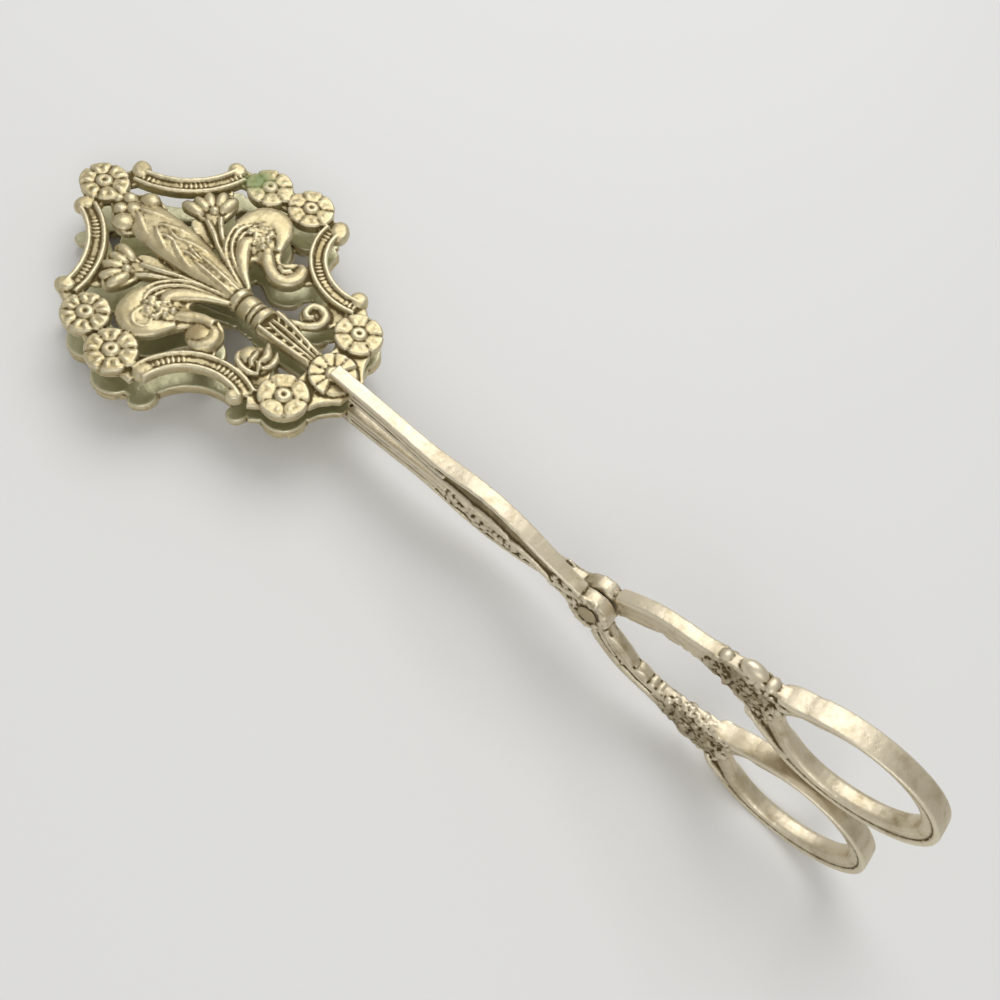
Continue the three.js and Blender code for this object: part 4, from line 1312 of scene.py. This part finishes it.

# Finish: worn silver plate with a painted highlight on raised edges, darker and browner in the hollows from
# tarnish and painted shade
ageing = {
    "inputs": {
        "Hollow": 0.0, "Deep": 0.0, "Back": 0.0, "Grime_and_shade": 0.0,
        "Silver": (0.66, 0.6, 0.38, 1.0), "WornAndHighlight": (0.88, 0.83, 0.62, 1.0),
        "TarnishAndShade": (0.2, 0.155, 0.05, 1.0), "Stain": (0.4, 0.29, 0.12, 1.0),
        "Plain": (0.6, 0.58, 0.38, 1.0),
    },
    "outputs": ("Colour", "Roughness", "Metal", "Height"),
    "mottle": (700.0, 4.0, 0.6),  # scale, detail and roughness of each noise
    "patch": (110.0, 3.0, 0.55),
    "blotch": (330.0, 3.0, 0.6),
    "grain": (4200.0, 2.0, 0.6),
    "speckle": 0.06,
    "hollowRange": (0.0, 0.075),
    # hollow and deep places are darkened by tarnish and painted shade
    "deepRange": (0.05, 0.6),
    "deepDirtAndShade": 0.85,
    "grimeShadeHollow": 0.02,
    "grimeShadeUneven": (0.3, 0.65, 0.7, 0.3),
    # raised edges are lightened by wear and a painted highlight
    "wornHighlightRange": (0.01, 0.09),
    "wornHighlightShare": 0.8,
    "grimeShadeWornHighlight": 0.5,
    "patchRange": (0.5, 0.7),
    "patchShare": 0.45,
    "blotchRange": (0.5, 0.72),
    "blotchShare": 0.4,
    "grimeShadeStain": 0.8,
    "backRange": (0.5, 0.95),
    "backPlain": 0.8,
    "backClean": 0.6,
    "roughness": 0.35,
    "mottleRough": 0.24,
    "dirtAndShadeRough": 0.25,
    "dirtAndShadeDull": 0.4,
    "pitRange": (0.3, 0.48),
    "pitHeight": 0.7,
    "grainHeight": 0.3,
    "bumpStrength": 0.25,
    "bumpDistance": 0.0001,
    "spotNoise": (420.0, 4.0, 0.7),
    "spotEdge": (0.6, 0.5),  # shares of the raggedness and of the radius
}


def feed(tree, socket, value):
    # a plain number or colour is set, and anything else is linked
    if isinstance(value, (int, float, tuple)):
        socket.default_value = value
    else:
        tree.links.new(value, socket)


def mathNode(tree, operation, first, second, clamp=False):
    node = tree.nodes.new("ShaderNodeMath")
    node.operation = operation
    node.use_clamp = clamp
    feed(tree, node.inputs[0], first)
    feed(tree, node.inputs[1], second)
    return node.outputs[0]


def times(tree, first, second):
    return mathNode(tree, "MULTIPLY", first, second)


def plus(tree, first, second):
    return mathNode(tree, "ADD", first, second)


def without(tree, value, share=1.0):
    # what is left of 1 when a share of the value goes
    return mathNode(tree, "SUBTRACT", 1.0, times(tree, value, share))


def rangeNode(tree, value, low, high, start=0.0, end=1.0):
    node = tree.nodes.new("ShaderNodeMapRange")
    node.interpolation_type = "SMOOTHSTEP"
    sockets = ("Value", "From Min", "From Max", "To Min", "To Max")
    for name, given in zip(sockets, (value, low, high, start, end)):
        feed(tree, node.inputs[name], given)
    return node.outputs["Result"]


def mixColour(tree, factor, first, second):
    node = tree.nodes.new("ShaderNodeMix")
    node.data_type = "RGBA"
    for i, value in ((0, factor), (6, first), (7, second)):  # the colour sockets come after other kinds
        feed(tree, node.inputs[i], value)
    return node.outputs[2]


def noiseNode(tree, vector, scale, detail, rough):
    node = tree.nodes.new("ShaderNodeTexNoise")
    for name, value in (("Vector", vector), ("Scale", scale), ("Detail", detail), ("Roughness", rough)):
        feed(tree, node.inputs[name], value)
    return node.outputs["Fac"]


def agedSilverGroup(values):
    tree = bpy.data.node_groups.new("agedSilver", "ShaderNodeTree")
    for name, value in values["inputs"].items():
        kind = "NodeSocketColor" if isinstance(value, tuple) else "NodeSocketFloat"
        socket = tree.interface.new_socket(name=name, in_out="INPUT", socket_type=kind)
        socket.default_value = value
    for name in values["outputs"]:
        kind = "NodeSocketColor" if name == "Colour" else "NodeSocketFloat"
        tree.interface.new_socket(name=name, in_out="OUTPUT", socket_type=kind)
    given = tree.nodes.new("NodeGroupInput").outputs
    result = tree.nodes.new("NodeGroupOutput").inputs
    place = tree.nodes.new("ShaderNodeTexCoord").outputs["Object"]
    mottle = noiseNode(tree, place, *values["mottle"])
    patch = noiseNode(tree, place, *values["patch"])
    blotch = noiseNode(tree, place, *values["blotch"])
    grain = noiseNode(tree, place, *values["grain"])
    # this mask darkens the arm with tarnish and painted shade
    soilAndShade = given["Grime_and_shade"]
    # tarnish and painted shade in the lines, in the deep places and over the arm's marked sides
    speckle = times(tree, mathNode(tree, "SUBTRACT", mottle, 0.5), values["speckle"])
    hollow = plus(tree, given["Hollow"], speckle)
    grimyShadedHollow = plus(tree, hollow, times(tree, soilAndShade, values["grimeShadeHollow"]))
    fine = rangeNode(tree, grimyShadedHollow, *values["hollowRange"])
    deep = rangeNode(tree, given["Deep"], *values["deepRange"])
    dirtAndShade = mathNode(tree, "MAXIMUM", fine, times(tree, deep, values["deepDirtAndShade"]))
    uneven = times(tree, soilAndShade, rangeNode(tree, blotch, *values["grimeShadeUneven"]))
    dirtAndShade = mathNode(tree, "MAXIMUM", dirtAndShade, uneven)
    # bright worn metal with a painted highlight on raised edges, and stains in patches
    worn = rangeNode(tree, times(tree, hollow, -1.0), *values["wornHighlightRange"])
    worn = times(tree, worn, without(tree, soilAndShade, values["grimeShadeWornHighlight"]))
    patches = times(tree, rangeNode(tree, patch, *values["patchRange"]), values["patchShare"])
    blotches = times(tree, rangeNode(tree, blotch, *values["blotchRange"]), values["blotchShare"])
    grimyAndShaded = times(tree, soilAndShade, values["grimeShadeStain"])
    stained = mathNode(tree, "MAXIMUM", plus(tree, patches, blotches), grimyAndShaded, True)
    colour = mixColour(tree, stained, given["Silver"], given["Stain"])
    # the raised edges take worn metal and a painted highlight
    colour = mixColour(tree, times(tree, worn, values["wornHighlightShare"]), colour, given["WornAndHighlight"])
    # the back is plain, with less tarnish and painted shade
    behind = rangeNode(tree, given["Back"], *values["backRange"])
    colour = mixColour(tree, times(tree, behind, values["backPlain"]), colour, given["Plain"])
    dirtAndShade = times(tree, dirtAndShade, without(tree, behind, values["backClean"]))
    # tarnish and painted shade darken the colour here
    feed(tree, result["Colour"], mixColour(tree, dirtAndShade, colour, given["TarnishAndShade"]))
    rough = plus(tree, times(tree, mottle, values["mottleRough"]), values["roughness"])
    feed(tree, result["Roughness"], plus(tree, rough, times(tree, dirtAndShade, values["dirtAndShadeRough"])))
    feed(tree, result["Metal"], without(tree, dirtAndShade, values["dirtAndShadeDull"]))
    pits = times(tree, rangeNode(tree, mottle, *values["pitRange"]), values["pitHeight"])
    feed(tree, result["Height"], plus(tree, pits, times(tree, grain, values["grainHeight"])))
    return tree


agedSilver = agedSilverGroup(ageing)


def silverMaterial(name, colours, marks, spots=()):
    material = bpy.data.materials.new(name)
    material.use_nodes = True
    tree = material.node_tree
    shader = tree.nodes["Principled BSDF"].inputs
    aged = tree.nodes.new("ShaderNodeGroup")
    aged.node_tree = agedSilver
    for mark in marks:
        node = tree.nodes.new("ShaderNodeAttribute")
        node.attribute_name = mark
        feed(tree, aged.inputs[mark.capitalize()], node.outputs["Fac"])
    for socket, value in colours.items():
        feed(tree, aged.inputs[socket], (*value, 1.0))
    colour = aged.outputs["Colour"]
    metal = aged.outputs["Metal"]
    for spot in spots:
        place = tree.nodes.new("ShaderNodeTexCoord").outputs["Object"]
        away = tree.nodes.new("ShaderNodeVectorMath")
        away.operation = "DISTANCE"
        feed(tree, away.inputs[0], place)
        feed(tree, away.inputs[1], tuple(halfPlace["upper"] @ Vector(spot["place"])))
        radius = spot["radius"]
        ragged = spot["ragged"]
        outer, inner = ageing["spotEdge"]
        torn = times(tree, noiseNode(tree, place, *ageing["spotNoise"]), ragged)
        near = plus(tree, away.outputs["Value"], torn)
        cover = rangeNode(tree, near, radius + ragged * outer, radius * inner)
        colour = mixColour(tree, times(tree, cover, spot["cover"]), colour, (*spot["colour"], 1.0))
        metal = times(tree, metal, without(tree, cover))
    feed(tree, shader["Base Color"], colour)
    feed(tree, shader["Metallic"], metal)
    feed(tree, shader["Roughness"], aged.outputs["Roughness"])
    bump = tree.nodes.new("ShaderNodeBump")
    feed(tree, bump.inputs["Strength"], ageing["bumpStrength"])
    feed(tree, bump.inputs["Distance"], ageing["bumpDistance"])
    feed(tree, bump.inputs["Height"], aged.outputs["Height"])
    feed(tree, shader["Normal"], bump.outputs["Normal"])
    return material


# each finish's dark colour holds tarnish and painted shade, and its light colour holds wear and a painted
# highlight
finish = {
    "plate": {
        "Silver": (0.6, 0.515, 0.31), "WornAndHighlight": (0.72, 0.65, 0.46), "TarnishAndShade": (0.13, 0.092, 0.03),
        "Stain": (0.38, 0.29, 0.13), "Plain": (0.62, 0.61, 0.41),
    },
    "arm": {
        "Silver": (0.7, 0.62, 0.465), "WornAndHighlight": (0.82, 0.745, 0.58), "TarnishAndShade": (0.12, 0.088, 0.034),
        "Stain": (0.36, 0.28, 0.14),
    },
    "rivet": {"Silver": (0.33, 0.265, 0.15), "WornAndHighlight": (0.5, 0.42, 0.27), "TarnishAndShade": (0.12, 0.085, 0.03)},
}
# Verdigris with a dull edge on one flower, and a brown stain on one scroll; places in the half's millimetres
plateSpots = [
    {
        "place": (119.0, -25.2, 2.4), "radius": 0.0058, "ragged": 0.0072,
        "cover": 0.55, "colour": (0.3, 0.3, 0.09),
    },
    {
        "place": (119.4, -25.0, 2.4), "radius": 0.0042, "ragged": 0.007,
        "cover": 0.9, "colour": (0.13, 0.25, 0.06),
    },
    {
        "place": (98.4, 12.6, 2.2), "radius": 0.0022, "ragged": 0.0018,
        "cover": 0.7, "colour": (0.3, 0.19, 0.06),
    },
]
plateMarks = ("hollow", "deep", "back")
upperPlateSilver = silverMaterial("upperPlateSilver", finish["plate"], plateMarks, plateSpots)
lowerPlateSilver = silverMaterial("lowerPlateSilver", finish["plate"], plateMarks)
armSilver = silverMaterial("armSilver", finish["arm"], ("hollow", "deep", "grime_and_shade"))
rivetSilver = silverMaterial("rivetSilver", finish["rivet"], ("hollow", "deep"))
print("finishes mixed")

upper = halfPlace["upper"]
lower = halfPlace["lower"]
placePiece("upperPlate", plateMesh, upper, "upper_jaw_plate", "upper_half", upperPlateSilver)
placePiece("lowerPlate", plateMesh, lower, "lower_jaw_plate", "lower_half", lowerPlateSilver)
placePiece("upperArm", armMesh, upper, "upper_jaw_arm", "upper_half", armSilver)
placePiece("lowerArm", armMesh, lower, "lower_jaw_arm", "lower_half", armSilver)
placePiece("rivetPin", rivetMesh, rivetPlace, "pivot_rivet", "lower_half", rivetSilver)
for spare in (plateMesh, armMesh, rivetMesh):
    bpy.data.meshes.remove(spare)
print("pieces placed")
